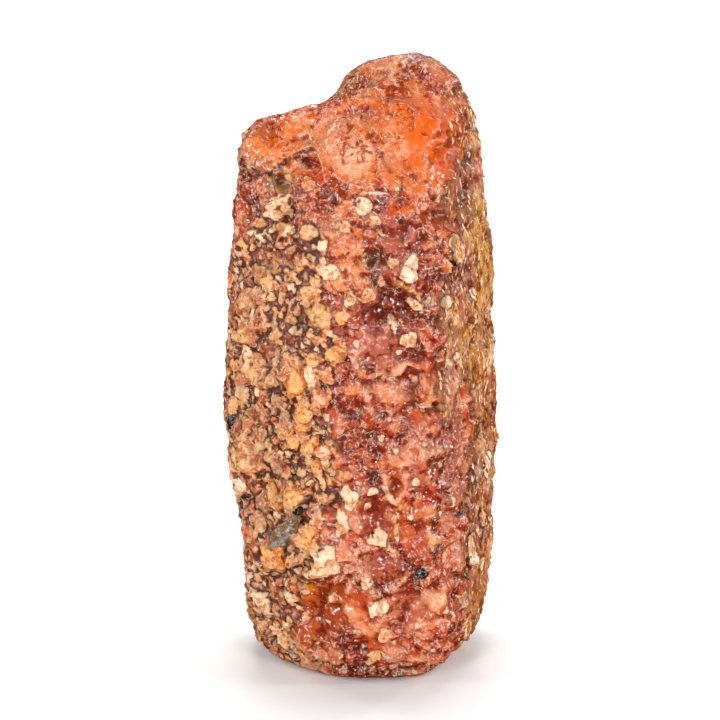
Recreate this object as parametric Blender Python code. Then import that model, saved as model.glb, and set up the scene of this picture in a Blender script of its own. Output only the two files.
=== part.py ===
"""A rough ruby: one upright, barrel-shaped crystal that stands on a small flat spot.

The crystal is a prism of seven sides with rounded edges. Its top slants up towards the back, where it ends
in a dome. Its skin carries grains of pale rock, pits, ridges and ledges. Lengths are in millimetres until the
mesh is made.

Marks on the skin are placed as they are seen from the front and a little above: "across" runs to the right
from the stone's middle, and "up" runs upright in that view from the lowest point of the stone's outline.
"""

import math
from typing import NamedTuple

import bmesh
import bpy
import numpy as np
from mathutils import Vector

MM = 0.001

# Overall size of the finished stone: width, depth and height
STONE_SIZE = (16.5, 14.6, 37.4)

# The direction that the marks are seen from, and the outline's lowest point in that view
SEEN_FROM_ABOVE = math.radians(22.0)
UP_AT_ORIGIN = 1.7
MOST_SLANTED = 0.4  # smallest share of its true size that a mark near the outline is taken to be seen at

# The block of nearly square cells that is drawn onto the crystal's form, straight out from its axis
BLOCK_SIZE = (16.0, 14.0, 37.0)
CELL = 0.3
AXIS_LOW = 8.0
AXIS_HIGH = 27.0
FURTHEST_DRAWN = 2.0  # as a share of the way from the axis to the block
HALVINGS = 26

# Rounding of the edges where the sides meet, and of the dome where it grows out of the top
EDGE_ROUNDING = 0.5
DOME_ROUNDING = 0.4
PROFILE_BLUR = 2.4
PROFILE_STEP = 0.1
PROFILE_HEIGHTS = np.arange(-6.0, 46.0, PROFILE_STEP)

# How much of the dense skin is kept when it is thinned to flat faces
KEPT_SHARE = 0.153

# Height at which the rounded foot is cut flat, above its lowest point, and the slab that cuts it
FOOT_CUT = 0.12
CUTTER_SIZE = (40.0, 40.0, 10.0)
# How far a face has to turn up from straight down before its grains and waves stand out in full
FOOT_FADE = 0.5

RANDOM_SEED = 7
RUBY_COLOUR = (0.40, 0.075, 0.045, 1.0)
RUBY_ROUGHNESS = 0.45


class Side(NamedTuple):
    """One side of the prism, which faces so many degrees from the front towards the right."""

    azimuth: float
    profile: tuple  # (height, distance from the axis) from the foot to the top


class Mark(NamedTuple):
    """One lump, grain or hollow, as seen from the front, with its lean in degrees to the left."""

    across: float
    up: float
    wide: float
    tall: float
    rise: float
    lean: float = 0.0


class Line(NamedTuple):
    """One ridge or groove."""

    points: tuple  # the places (across, up) that it runs through
    width: float  # from its middle to its edge
    rise: float  # or its depth


class Scatter(NamedTuple):
    """Grains grown at random: how far apart, the smallest and largest width, and the mean rise."""

    spacing: float
    smallest: float
    largest: float
    rise: float


SIDES = {
    "front": Side(
        azimuth=1.0,
        profile=(
            (0.0, 4.8), (1.0, 5.5), (3.0, 6.1), (8.0, 6.6),
            (15.0, 6.8), (24.0, 6.8), (30.0, 6.5), (36.0, 5.7),
        ),
    ),
    "right_front": Side(
        azimuth=65.0,
        profile=(
            (0.0, 5.6), (1.0, 6.4), (3.0, 6.9), (6.0, 7.1),
            (12.0, 7.2), (23.0, 7.1), (27.0, 6.7), (36.0, 4.9),
        ),
    ),
    "right_back": Side(
        azimuth=112.0,
        profile=(
            (0.0, 6.2), (1.0, 6.9), (3.0, 7.7), (6.0, 8.3), (12.0, 8.5),
            (20.0, 8.6), (28.0, 8.1), (32.0, 7.8), (37.0, 6.9),
        ),
    ),
    "back": Side(
        azimuth=178.0,
        profile=(
            (0.0, 4.7), (2.0, 5.7), (6.0, 6.5), (14.0, 7.0),
            (24.0, 7.1), (30.0, 6.7), (36.0, 5.6),
        ),
    ),
    "back_left": Side(
        azimuth=222.0,
        profile=(
            (0.0, 4.9), (2.0, 5.9), (8.0, 6.9), (16.0, 7.5),
            (25.0, 7.2), (31.0, 6.4), (36.0, 5.3),
        ),
    ),
    "left": Side(
        azimuth=265.0,
        profile=(
            (0.0, 5.6), (2.0, 6.6), (6.0, 6.6), (11.0, 7.3),
            (17.5, 8.2), (23.0, 7.4), (29.0, 7.3), (37.0, 6.7),
        ),
    ),
    "left_front": Side(
        azimuth=315.0,
        profile=(
            (0.0, 4.6), (2.0, 5.5), (6.0, 6.0), (14.0, 6.6),
            (24.0, 6.6), (29.0, 6.3), (34.0, 5.7),
        ),
    ),
}

# The planes that cut the top: height over the axis, then the rise per millimetre to the right and to the back
SHOULDER_PLANE = (34.8, 0.20, 0.62)
CREST_PLANE = (36.1, 0.08, 0.76)
BEVEL_PLANE = (38.6, 0.15, 1.30)
# Behind the left shoulder the top falls away to the back: a point of that plane and the way it faces
BACK_FALL_POINT = (-1.7, 1.5, 35.2)
BACK_FALL_NORMAL = (-0.20, 0.62, 0.72)
# The dome at the back right, which the crest plane cuts towards the front
DOME_CENTRE = (2.6, 2.4, 31.9)
DOME_RADII = (4.3, 4.2, 5.4)
DOME_REACH_FRONT = 10.0
DOME_FULLNESS = 2.6

# Broad swellings and hollows of the skin, which reach at least this far to either side of its plane
LEAST_DEPTH = 1.5
SWELLINGS = (
    Mark(1.3, 19.6, 3.6, 2.9, 0.42, 10.0),  # shell-shaped boss in the middle of the front
    Mark(-6.4, 13.6, 3.4, 4.2, 0.30),
    Mark(-5.6, 18.0, 3.0, 3.6, 0.20),
    Mark(-4.2, 8.6, 3.2, 4.2, 0.25),
    Mark(4.0, 15.4, 1.4, 2.2, 0.22),
    Mark(3.0, 32.0, 4.6, 3.6, 0.25),
    Mark(1.8, 30.2, 4.6, 2.4, 0.30, -20.0),
    Mark(7.4, 30.4, 0.9, 2.6, 0.30),
    Mark(1.0, 4.0, 4.6, 3.0, 0.25),
    Mark(-6.6, 31.6, 1.6, 2.0, 0.25),
)
HOLLOWS = (
    Mark(-4.6, 29.2, 3.0, 1.8, 0.65, 25.0),  # under the ledge of the left shoulder
    Mark(-4.2, 27.9, 2.4, 1.6, 0.40),
    Mark(-2.8, 30.7, 1.5, 1.2, 0.45),
    Mark(1.5, 22.0, 4.2, 1.3, 0.60, 4.0),  # above the boss
    Mark(1.7, 17.9, 3.4, 1.0, 0.50, 6.0),  # under the boss
    Mark(3.0, 16.2, 1.1, 2.2, 0.35, -15.0),
    Mark(2.5, 14.4, 1.2, 2.4, 0.40, -15.0),
    Mark(1.0, 9.7, 2.2, 2.4, 0.30),
    Mark(2.1, 11.7, 1.2, 1.5, 0.35),
    Mark(3.4, 9.1, 1.3, 3.4, 0.25),
    Mark(0.4, 25.2, 1.9, 1.0, 0.35),
    Mark(-4.4, 23.2, 1.8, 1.6, 0.35),
    Mark(-3.5, 21.2, 1.9, 1.6, 0.45),
    Mark(4.2, 27.6, 2.0, 1.2, 0.45),
    Mark(1.2, 28.6, 1.0, 1.0, 0.30),
    Mark(-6.8, 10.7, 1.3, 1.1, 0.50),
    Mark(-3.6, 6.8, 1.3, 0.9, 0.40),
    Mark(-4.9, 6.0, 0.9, 0.8, 0.35),
    Mark(-3.2, 18.6, 0.8, 1.0, 0.35),
    Mark(4.1, 20.2, 0.9, 1.3, 0.30),
    Mark(-3.4, 4.4, 1.6, 2.6, 0.25, 30.0),
    Mark(6.5, 32.0, 0.8, 3.4, 0.55, -8.0),  # groove behind the top's right edge
    Mark(6.2, 16.0, 0.9, 6.0, 0.20),
)

# Grains of pale rock with flat faces, grown into the front and the sides
GRAINS = (
    Mark(0.2, 28.4, 1.1, 1.1, 0.35, 20.0),
    Mark(-1.8, 24.3, 1.2, 1.2, 0.35, 45.0),
    Mark(3.1, 24.6, 1.3, 1.7, 0.40, -25.0),
    Mark(1.9, 25.0, 0.8, 0.8, 0.25),
    Mark(-0.8, 22.7, 1.2, 0.9, 0.30),
    Mark(0.5, 22.9, 1.2, 0.9, 0.30, 10.0),
    Mark(3.3, 22.5, 1.8, 0.8, 0.35, -25.0),
    Mark(2.9, 20.3, 0.8, 1.3, 0.30, 15.0),
    Mark(-4.9, 28.4, 1.0, 1.7, 0.40, 10.0),
    Mark(-7.1, 17.4, 0.9, 1.4, 0.35, -20.0),
    Mark(-7.1, 11.8, 0.6, 1.0, 0.30),
    Mark(-0.7, 10.8, 1.1, 1.5, 0.40, 30.0),
    Mark(-1.0, 9.0, 1.0, 0.9, 0.35),
    Mark(0.8, 11.3, 0.8, 0.8, 0.30),
    Mark(1.0, 8.3, 1.4, 0.8, 0.35, 15.0),
    Mark(1.0, 4.2, 1.3, 1.1, 0.35, 35.0),
    Mark(1.6, 2.6, 1.1, 0.9, 0.30),
    Mark(4.9, 29.2, 0.8, 0.6, 0.25),
    Mark(5.9, 25.9, 0.8, 1.9, 0.35),
    Mark(6.8, 23.0, 0.6, 0.9, 0.30),
    Mark(6.9, 21.7, 0.6, 0.9, 0.30),
    Mark(5.8, 19.3, 0.6, 0.9, 0.25),
    Mark(7.6, 13.0, 0.6, 2.3, 0.35),
    Mark(6.3, 10.7, 0.7, 0.7, 0.30),
    Mark(7.0, 7.7, 0.6, 2.1, 0.35, -8.0),
    Mark(6.4, 4.7, 0.6, 1.4, 0.30, -8.0),
    Mark(-6.3, 18.8, 1.3, 1.8, 0.40, 10.0),
    Mark(-4.1, 18.3, 1.7, 2.4, 0.45, -10.0),
    Mark(-2.8, 19.2, 0.9, 0.9, 0.35),
    Mark(-2.9, 17.9, 0.8, 1.5, 0.35, 8.0),
    Mark(-2.0, 18.2, 0.6, 1.1, 0.30),
    Mark(-2.2, 16.9, 0.9, 1.4, 0.40, -5.0),
    Mark(-3.4, 16.1, 1.2, 1.2, 0.40, 30.0),
    Mark(-3.5, 15.1, 0.9, 0.7, 0.30),
    Mark(-4.3, 14.6, 0.9, 1.3, 0.35, 10.0),
    Mark(-3.2, 14.1, 0.9, 1.2, 0.40, -15.0),
    Mark(-2.3, 13.7, 0.9, 1.1, 0.40),
    Mark(-6.5, 13.5, 1.7, 2.1, 0.40, 15.0),
    Mark(-5.1, 11.1, 0.8, 1.8, 0.35, 15.0),
    Mark(-5.6, 9.5, 0.6, 1.1, 0.30),
    Mark(-3.8, 11.2, 1.0, 0.9, 0.35),
    Mark(-4.3, 10.2, 0.9, 0.8, 0.30),
    Mark(-4.4, 8.8, 1.3, 2.4, 0.40, -30.0),
    Mark(-3.2, 8.5, 1.0, 2.2, 0.40, -15.0),
    Mark(-2.9, 10.0, 0.7, 1.2, 0.30),
    Mark(-2.3, 7.3, 0.9, 1.9, 0.40, -15.0),
    Mark(-5.4, 7.4, 1.5, 1.7, 0.45, 20.0),
    Mark(-6.6, 9.0, 1.3, 1.0, 0.35),
    Mark(-5.0, 2.8, 1.0, 0.8, 0.30),
    Mark(-4.0, 1.6, 1.0, 0.8, 0.30),
    Mark(-6.1, 24.4, 1.1, 1.0, 0.35),
    Mark(-5.5, 23.6, 1.0, 0.9, 0.30),
    Mark(-6.5, 23.0, 1.2, 1.0, 0.35),
    Mark(-6.7, 21.0, 1.0, 1.5, 0.35),
    Mark(-5.2, 21.3, 1.1, 1.2, 0.35, 30.0),
    Mark(-1.1, 17.1, 0.9, 1.0, 0.30),
    Mark(-2.9, 22.7, 0.9, 0.8, 0.30),
    Mark(-6.9, 26.2, 0.9, 1.4, 0.30),
    Mark(-6.0, 16.0, 1.2, 1.4, 0.35, -30.0),
    Mark(-4.9, 12.8, 0.9, 0.9, 0.30),
    Mark(-4.9, 16.4, 1.0, 1.0, 0.30),
)

MAIN_EDGE = (
    (5.9, 33.2), (6.2, 32.0), (5.8, 31.0), (5.4, 29.0), (5.3, 26.9), (4.9, 25.6), (5.2, 24.2),
    (4.9, 20.6), (5.0, 17.9), (4.8, 13.7), (4.6, 9.5), (4.8, 4.7), (4.7, 1.4),
)
RIDGES = (
    Line(MAIN_EDGE, 0.9, 0.36),  # the long edge between the front and the right side
    Line(((-6.3, 30.0), (-5.6, 30.4), (-4.2, 31.2), (-2.7, 32.0)), 0.7, 0.34),  # ledge on the left
    Line(((-0.7, 19.0), (-0.4, 18.5), (0.4, 18.2), (1.7, 18.4), (2.9, 18.9)), 0.5, 0.22),  # rim of the boss
    Line(((-2.4, 7.4), (-3.0, 6.0), (-4.3, 4.6), (-3.7, 3.2), (-2.2, 1.9)), 0.5, 0.25),
    Line(((-2.6, 1.6), (-0.4, 0.7), (2.2, 0.4), (4.3, 0.9)), 0.6, 0.28),  # lip over the foot
    Line(((2.6, 10.8), (2.4, 9.6), (2.3, 8.3)), 0.4, 0.25),
    Line(((4.2, 10.6), (4.0, 9.2), (3.8, 7.4)), 0.4, 0.18),
    Line(((1.4, 12.3), (1.5, 11.2), (2.3, 10.9), (2.8, 11.7)), 0.4, 0.22),
    Line(((-1.4, 29.4), (-0.6, 28.6), (0.6, 28.0), (2.2, 27.6), (3.8, 27.9)), 0.6, 0.22),
    Line(((7.0, 34.2), (7.3, 32.6), (7.3, 31.0)), 0.6, 0.20),
)
GROOVES = (
    Line(((-6.2, 29.4), (-5.2, 29.8), (-4.0, 30.6), (-2.9, 31.2)), 0.7, 0.40),  # recess under that ledge
    Line(((0.5, 32.4), (1.0, 31.4), (1.9, 30.2)), 0.4, 0.20),  # crack in the top face
    Line(((3.3, 18.6), (3.4, 17.2), (2.6, 15.0), (2.9, 13.6)), 0.6, 0.25),
    Line(((5.6, 29.2), (5.5, 26.6), (5.6, 24.4)), 0.5, 0.20),
    Line(((5.5, 16.0), (5.3, 12.4), (5.1, 8.0)), 0.5, 0.20),
    Line(((-1.4, 21.6), (-1.2, 19.8), (-1.4, 18.0)), 0.5, 0.18),
)

# Scattered grains: on the grown-over left side, on the crust of the right side and on the barer back
LEFT_GRAINS = Scatter(0.95, 0.8, 1.3, 0.14)
RIGHT_GRAINS = Scatter(0.95, 0.8, 1.3, 0.10)
BACK_GRAINS = Scatter(1.7, 1.2, 2.4, 0.20)
# Where they grow: between which turns from the front, below which height, and on faces no flatter than this
LEFT_TURNS = (-120.0, -30.0)
RIGHT_TURNS = (55.0, 120.0)
CRUST_TOP = 27.0
FLATTEST_NORMAL = 0.8
# A grain's flat faces: how many flanks, how uneven they are, and how steep they and the tilted top may be
FLANKS = (5, 8)
FLANK_TURN = 0.25
FLANK_SHARE = (0.8, 1.05)
FLANK_STEEPNESS = 1.8
TOP_TILT = 0.35

# Slow waviness of the whole skin: wave lengths and heights
WAVES = ((9.0, 0.08), (4.0, 0.08), (1.7, 0.05))
WAVE_DIRECTIONS = 7


def blurred_profile(profile: tuple) -> tuple:
    """A side's profile as a fine table, its corners softened so that the side bends without creases."""
    heights, distances = zip(*profile)
    straight = np.interp(PROFILE_HEIGHTS, heights, distances)
    window = np.hanning(2 * int(PROFILE_BLUR / PROFILE_STEP) + 1)
    window /= window.sum()
    padded = np.pad(straight, len(window) // 2, mode="edge")
    return PROFILE_HEIGHTS, np.convolve(padded, window, mode="valid")


SIDE_TABLES = {name: blurred_profile(side.profile) for name, side in SIDES.items()}


def rounded_meet(distances: list, rounding: float) -> np.ndarray:
    """Distance to the solid in which all of the given ones meet, with rounded edges."""
    stack = np.stack(distances) / rounding
    peak = stack.max(axis=0)
    return rounding * (peak + np.log(np.exp(stack - peak).sum(axis=0)))


def plane(points: np.ndarray, point: tuple, normal: tuple) -> np.ndarray:
    """Signed distance of each point from a plane, positive on the side that the normal faces."""
    normal = np.array(normal) / np.linalg.norm(normal)
    return (points - np.array(point)) @ normal


def under_plane(points: np.ndarray, cut: tuple) -> np.ndarray:
    """Signed distance from one of the planes that cut the top."""
    height, rise_right, rise_back = cut
    return plane(points, (0.0, 0.0, height), (-rise_right, -rise_back, 1.0))


def dome_form(points: np.ndarray) -> np.ndarray:
    """Rough signed distance from the dome, which is drawn out towards the front."""
    radii = np.tile(DOME_RADII, (len(points), 1))
    offset = points - np.array(DOME_CENTRE)
    radii[:, 1] = np.where(offset[:, 1] < 0, DOME_REACH_FRONT, radii[:, 1])
    reach = (np.abs(offset / radii) ** DOME_FULLNESS).sum(axis=1) ** (1.0 / DOME_FULLNESS)
    return (reach - 1.0) * min(DOME_RADII)


def crystal_form(points: np.ndarray) -> np.ndarray:
    """Rough signed distance of each point from the bare crystal: negative inside."""
    sides = []
    for name, side in SIDES.items():
        turn = math.radians(side.azimuth)
        outward = points[:, 0] * math.sin(turn) - points[:, 1] * math.cos(turn)
        sides.append(outward - np.interp(points[:, 2], *SIDE_TABLES[name]))
    shoulder = under_plane(points, SHOULDER_PLANE)
    crest = under_plane(points, CREST_PLANE)
    bevel = under_plane(points, BEVEL_PLANE)
    back_fall = plane(points, BACK_FALL_POINT, BACK_FALL_NORMAL)
    foot = -points[:, 2]
    body = rounded_meet([*sides, shoulder, bevel, back_fall, foot], EDGE_ROUNDING)
    dome = rounded_meet([*sides, crest, bevel, dome_form(points), foot], EDGE_ROUNDING)
    return -rounded_meet([-body, -dome], DOME_ROUNDING)


def block_of_cells() -> bmesh.types.BMesh:
    """A closed block of nearly square cells that stands on the ground, its middle on the Z axis."""
    bm = bmesh.new()
    bmesh.ops.create_cube(bm, size=1.0)
    bmesh.ops.scale(bm, vec=BLOCK_SIZE, verts=bm.verts)
    bmesh.ops.translate(bm, vec=(0.0, 0.0, BLOCK_SIZE[2] / 2), verts=bm.verts)
    for axis, length in enumerate(BLOCK_SIZE):
        along = [e for e in bm.edges if abs(e.verts[0].co[axis] - e.verts[1].co[axis]) > CELL]
        bmesh.ops.subdivide_edges(bm, edges=along, cuts=round(length / CELL) - 1)
    return bm


def drawn_onto_form(block: np.ndarray) -> np.ndarray:
    """Moves the block's points straight out from the axis, or in towards it, onto the bare crystal."""
    origin = np.zeros_like(block)
    origin[:, 2] = np.clip(block[:, 2], AXIS_LOW, AXIS_HIGH)
    ray = block - origin
    near = np.zeros(len(block))
    far = np.full(len(block), FURTHEST_DRAWN)
    for _ in range(HALVINGS):
        middle = (near + far) / 2
        inside = crystal_form(origin + ray * middle[:, None]) < 0
        near = np.where(inside, middle, near)
        far = np.where(inside, far, middle)
    return origin + ray * near[:, None]


class Skin:
    """The bare crystal's skin, with a height over it for each point."""

    def __init__(self, mesh: bpy.types.Mesh):
        """Reads the skin's points and the way that they face."""
        count = len(mesh.vertices)
        points = np.empty(count * 3)
        mesh.vertices.foreach_get("co", points)
        self.points = points.reshape(-1, 3)
        normals = np.empty(count * 3)
        mesh.vertex_normals.foreach_get("vector", normals)
        self.normals = normals.reshape(-1, 3)
        self.height = np.zeros(count)
        sine, cosine = math.sin(SEEN_FROM_ABOVE), math.cos(SEEN_FROM_ABOVE)
        self.across = self.points[:, 0]
        self.up = self.points[:, 2] * cosine + self.points[:, 1] * sine + UP_AT_ORIGIN
        self.facing = self.normals @ np.array((0.0, -cosine, sine))
        self.up_axis = np.array((0.0, sine, cosine))

    def spot(self, across: float, up: float) -> int:
        """The front-facing point that is seen nearest to the given place."""
        miss = np.hypot(self.across - across, self.up - up)
        return int(np.argmin(np.where(self.facing > 0.05, miss, np.inf)))

    def laid_out(self, centre: int, lean: float) -> tuple:
        """Each point's place along two axes of the skin at a point, its depth, and the two axes."""
        normal = self.normals[centre]
        right = np.cross((0.0, 0.0, 1.0), normal)
        right /= np.linalg.norm(right)
        above = np.cross(normal, right)
        turn = math.radians(lean)
        first = right * math.cos(turn) + above * math.sin(turn)
        second = above * math.cos(turn) - right * math.sin(turn)
        offset = self.points - self.points[centre]
        return offset @ first, offset @ second, offset @ normal, first, second

    def true_size(self, mark: Mark, first: np.ndarray, second: np.ndarray) -> tuple:
        """Half the width and height of a mark on the skin itself, which may be seen at a slant."""
        seen_wide = max(math.hypot(first[0], first @ self.up_axis), MOST_SLANTED)
        seen_tall = max(math.hypot(second[0], second @ self.up_axis), MOST_SLANTED)
        return mark.wide / 2 / seen_wide, mark.tall / 2 / seen_tall

    def swell(self, mark: Mark) -> None:
        """Raises, or with a negative rise sinks, a soft round patch."""
        a, b, depth, first, second = self.laid_out(self.spot(mark.across, mark.up), mark.lean)
        half_wide, half_tall = self.true_size(mark, first, second)
        half_deep = max(half_wide, half_tall, LEAST_DEPTH)
        reach = (a / half_wide) ** 2 + (b / half_tall) ** 2 + (depth / half_deep) ** 2
        self.height += mark.rise * np.clip(1.0 - reach, 0.0, None) ** 2

    def grain(self, centre: int, half_wide: float, half_tall: float, rise: float, lean: float, shape) -> None:
        """Raises one grain with flat flanks and a flat, slightly tilted top."""
        a, b, depth, _, _ = self.laid_out(centre, lean)
        flanks = shape.integers(*FLANKS)
        angles = np.arange(flanks) * 2 * math.pi / flanks
        angles += shape.uniform(-FLANK_TURN, FLANK_TURN, flanks)
        distances = shape.uniform(*FLANK_SHARE, flanks)
        tilt = shape.uniform(-TOP_TILT, TOP_TILT, 2)
        a, b = a / half_wide, b / half_tall
        reach = np.full(len(a), -np.inf)
        for angle, distance in zip(angles, distances):
            reach = np.maximum(reach, (a * math.cos(angle) + b * math.sin(angle)) / distance)
        near = (reach < 1.0) & (np.abs(depth) < max(half_wide, half_tall))
        flat_top = 1.0 + tilt[0] * a + tilt[1] * b
        raised = self.height[centre] + rise * np.minimum(flat_top, (1.0 - reach) * FLANK_STEEPNESS)
        self.height = np.where(near, np.maximum(self.height, raised), self.height)

    def seen_grain(self, mark: Mark, shape) -> None:
        """Raises a grain that the front view shows."""
        centre = self.spot(mark.across, mark.up)
        _, _, _, first, second = self.laid_out(centre, mark.lean)
        half_wide, half_tall = self.true_size(mark, first, second)
        self.grain(centre, half_wide, half_tall, mark.rise, mark.lean, shape)

    def line(self, line: Line, sign: int) -> None:
        """Raises a rounded line along the skin, or sinks it where the sign is negative."""
        corners = [self.points[self.spot(*seen)] for seen in line.points]
        nearest = np.full(len(self.points), np.inf)
        for start, end in zip(corners, corners[1:]):
            run = end - start
            share = np.clip((self.points - start) @ run / (run @ run), 0.0, 1.0)
            distance = np.linalg.norm(self.points - start - share[:, None] * run, axis=1)
            nearest = np.minimum(nearest, distance)
        self.height += sign * line.rise * np.clip(1.0 - (nearest / line.width) ** 2, 0.0, None) ** 2

    def wave(self, shape) -> None:
        """Adds a slow waviness, so that no stretch of the skin is a true plane or cylinder."""
        for length, rise in WAVES:
            for _ in range(WAVE_DIRECTIONS):
                direction = shape.normal(size=3)
                direction *= 2 * math.pi / length / np.linalg.norm(direction)
                turn = shape.uniform(0.0, 2 * math.pi)
                share = rise / math.sqrt(WAVE_DIRECTIONS)
                self.height += share * np.sin(self.points @ direction + turn)

    def scatter(self, where: np.ndarray, kind: Scatter, shape) -> None:
        """Grows grains at random over the given part of the skin, none too close to another."""
        chosen = []
        for index in shape.permutation(np.flatnonzero(where)):
            point = self.points[index]
            if all(np.linalg.norm(point - self.points[other]) > kind.spacing for other in chosen):
                chosen.append(index)
        for index in chosen:
            half_wide, half_tall = shape.uniform(kind.smallest, kind.largest, 2) / 2
            self.grain(index, half_wide, half_tall, kind.rise, shape.uniform(0, 180), shape)

    def raised_points(self) -> np.ndarray:
        """The skin's points, moved out by their heights, which fade away under the foot."""
        standing = np.clip((self.normals[:, 2] + 1.0) / FOOT_FADE, 0.0, 1.0)
        return self.points + self.normals * (self.height * standing)[:, None]


def grow_features(skin: Skin) -> None:
    """Adds everything that stands out from the bare crystal or is sunk into it."""
    shape = np.random.default_rng(RANDOM_SEED)
    skin.wave(shape)
    for mark in SWELLINGS:
        skin.swell(mark)
    for mark in HOLLOWS:
        skin.swell(mark._replace(rise=-mark.rise))
    turn = np.degrees(np.arctan2(skin.points[:, 0], -skin.points[:, 1]))
    standing = np.abs(skin.normals[:, 2]) < FLATTEST_NORMAL
    left = (turn > LEFT_TURNS[0]) & (turn < LEFT_TURNS[1])
    right = (turn > RIGHT_TURNS[0]) & (turn < RIGHT_TURNS[1])
    back = (turn <= LEFT_TURNS[0]) | (turn >= RIGHT_TURNS[1])
    skin.scatter(left & standing, LEFT_GRAINS, shape)
    skin.scatter(right & standing & (skin.points[:, 2] < CRUST_TOP), RIGHT_GRAINS, shape)
    skin.scatter(back, BACK_GRAINS, shape)
    for mark in GRAINS:
        skin.seen_grain(mark, shape)
    for ridge in RIDGES:
        skin.line(ridge, 1)
    for groove in GROOVES:
        skin.line(groove, -1)


def fitted_to_size(points: np.ndarray) -> np.ndarray:
    """Centres the points, puts the foot's cut at height zero and scales them to the stone's size."""
    low, high = points.min(axis=0), points.max(axis=0)
    low[2] += FOOT_CUT
    middle = (low + high) / 2
    middle[2] = low[2]
    return (points - middle) * (np.array(STONE_SIZE) / (high - low))


def ruby_material() -> bpy.types.Material:
    """Opaque, glassy red-brown ruby."""
    material = bpy.data.materials.new("rough_ruby")
    material.use_nodes = True
    shader = material.node_tree.nodes["Principled BSDF"]
    shader.inputs["Base Color"].default_value = RUBY_COLOUR
    shader.inputs["Roughness"].default_value = RUBY_ROUGHNESS
    shader.inputs["Metallic"].default_value = 0.0
    return material


def ground_cutter(collection: bpy.types.Collection) -> bpy.types.Object:
    """A slab under the ground that cuts the rounded foot flat."""
    bm = bmesh.new()
    bmesh.ops.create_cube(bm, size=1.0)
    bmesh.ops.scale(bm, vec=Vector(CUTTER_SIZE) * MM, verts=bm.verts)
    mesh = bpy.data.meshes.new("ground_cutter")
    bm.to_mesh(mesh)
    bm.free()
    cutter = bpy.data.objects.new("ground_cutter", mesh)
    cutter.location.z = -CUTTER_SIZE[2] / 2 * MM
    cutter.display_type = "WIRE"
    cutter.hide_render = True
    collection.objects.link(cutter)
    return cutter


def ruby_crystal(collection: bpy.types.Collection, cutter: bpy.types.Object) -> bpy.types.Object:
    """The whole stone: a dense skin, thinned to flat faces, with its foot cut flat."""
    bm = block_of_cells()
    block = np.array([v.co for v in bm.verts])
    mesh = bpy.data.meshes.new("ruby_crystal")
    for vertex, point in zip(bm.verts, drawn_onto_form(block)):
        vertex.co = point
    bm.to_mesh(mesh)
    bm.free()
    skin = Skin(mesh)
    grow_features(skin)
    finished = np.round(fitted_to_size(skin.raised_points()) * MM, 7)
    mesh.vertices.foreach_set("co", finished.ravel())
    mesh.update()
    mesh.materials.append(ruby_material())
    stone = bpy.data.objects.new("ruby_crystal", mesh)
    collection.objects.link(stone)
    thin = stone.modifiers.new("flat faces", "DECIMATE")
    thin.ratio = KEPT_SHARE
    thin.use_collapse_triangulate = True
    flat = stone.modifiers.new("flat foot", "BOOLEAN")
    flat.operation = "DIFFERENCE"
    flat.solver = "EXACT"
    flat.object = cutter
    return stone


def main() -> None:
    """Clears the scene and builds the stone."""
    for old in list(bpy.data.objects):
        bpy.data.objects.remove(old, do_unlink=True)
    parts = bpy.data.collections.new("rough_ruby")
    cutters = bpy.data.collections.new("cutters")
    bpy.context.scene.collection.children.link(parts)
    bpy.context.scene.collection.children.link(cutters)
    ruby_crystal(parts, ground_cutter(cutters))


main()
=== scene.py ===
"""The looks of a rough ruby: a broken, glassy crystal with the rock that it grew in still on its skin.

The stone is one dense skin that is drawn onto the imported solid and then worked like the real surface: broken
faces, hollows, ledges and ribs. Grains of feldspar, weathered pebbles, flaky crust, black mica and small
glinting crystals are set into it. Lengths are in millimetres until a mesh is made.

Marks are placed as they are seen from the front and a little above: "across" runs to the right from the middle
of the stone, and "up" runs upright in that view from the lowest point of the stone's outline.
"""

import logging
import math
from collections.abc import Callable, Sequence
from dataclasses import dataclass, field, replace
from enum import Enum

import bmesh
import bpy
import numpy as np
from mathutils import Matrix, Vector, noise
from mathutils.bvhtree import BVHTree
from mathutils.kdtree import KDTree


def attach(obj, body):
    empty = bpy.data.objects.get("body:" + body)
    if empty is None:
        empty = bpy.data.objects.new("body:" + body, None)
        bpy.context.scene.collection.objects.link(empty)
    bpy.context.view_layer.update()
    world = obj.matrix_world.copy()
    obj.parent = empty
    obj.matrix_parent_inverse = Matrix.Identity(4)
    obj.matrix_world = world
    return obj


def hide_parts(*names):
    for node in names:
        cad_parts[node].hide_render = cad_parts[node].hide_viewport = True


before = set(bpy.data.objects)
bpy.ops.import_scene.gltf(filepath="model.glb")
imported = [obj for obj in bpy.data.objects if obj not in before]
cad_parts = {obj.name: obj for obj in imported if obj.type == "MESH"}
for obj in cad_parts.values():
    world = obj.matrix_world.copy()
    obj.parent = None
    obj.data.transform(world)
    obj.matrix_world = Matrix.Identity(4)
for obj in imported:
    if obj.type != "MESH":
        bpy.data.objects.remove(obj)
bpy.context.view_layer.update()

MM = 0.001
STONE_NODE = "ruby_crystal"
STONE_BODY = "root"
# The solid's box with 0.12 mm to spare at the sides and above, in millimetres
LOWEST_CORNER = (-8.38, -7.41, 0.0)
HIGHEST_CORNER = (8.38, 7.41, 37.49)
# Points that turn away from the front view by more than this aren't touched by its marks
LEAST_FACING = -0.05
LOG = logging.getLogger("rough_ruby")

Place = tuple[float, float]
Span = tuple[float, float]


def linear(colour: str) -> tuple[float, float, float, float]:
    """Turns an sRGB hex colour to linear light.

    Args:
        colour: the colour as "#RRGGBB".

    Returns:
        Red, green, blue and an alpha of one.
    """
    channels = []
    for start in (1, 3, 5):
        value = int(colour[start:start + 2], 16) / 255
        channels.append(value / 12.92 if value <= 0.04045 else ((value + 0.055) / 1.055) ** 2.4)
    return (*channels, 1.0)


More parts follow.
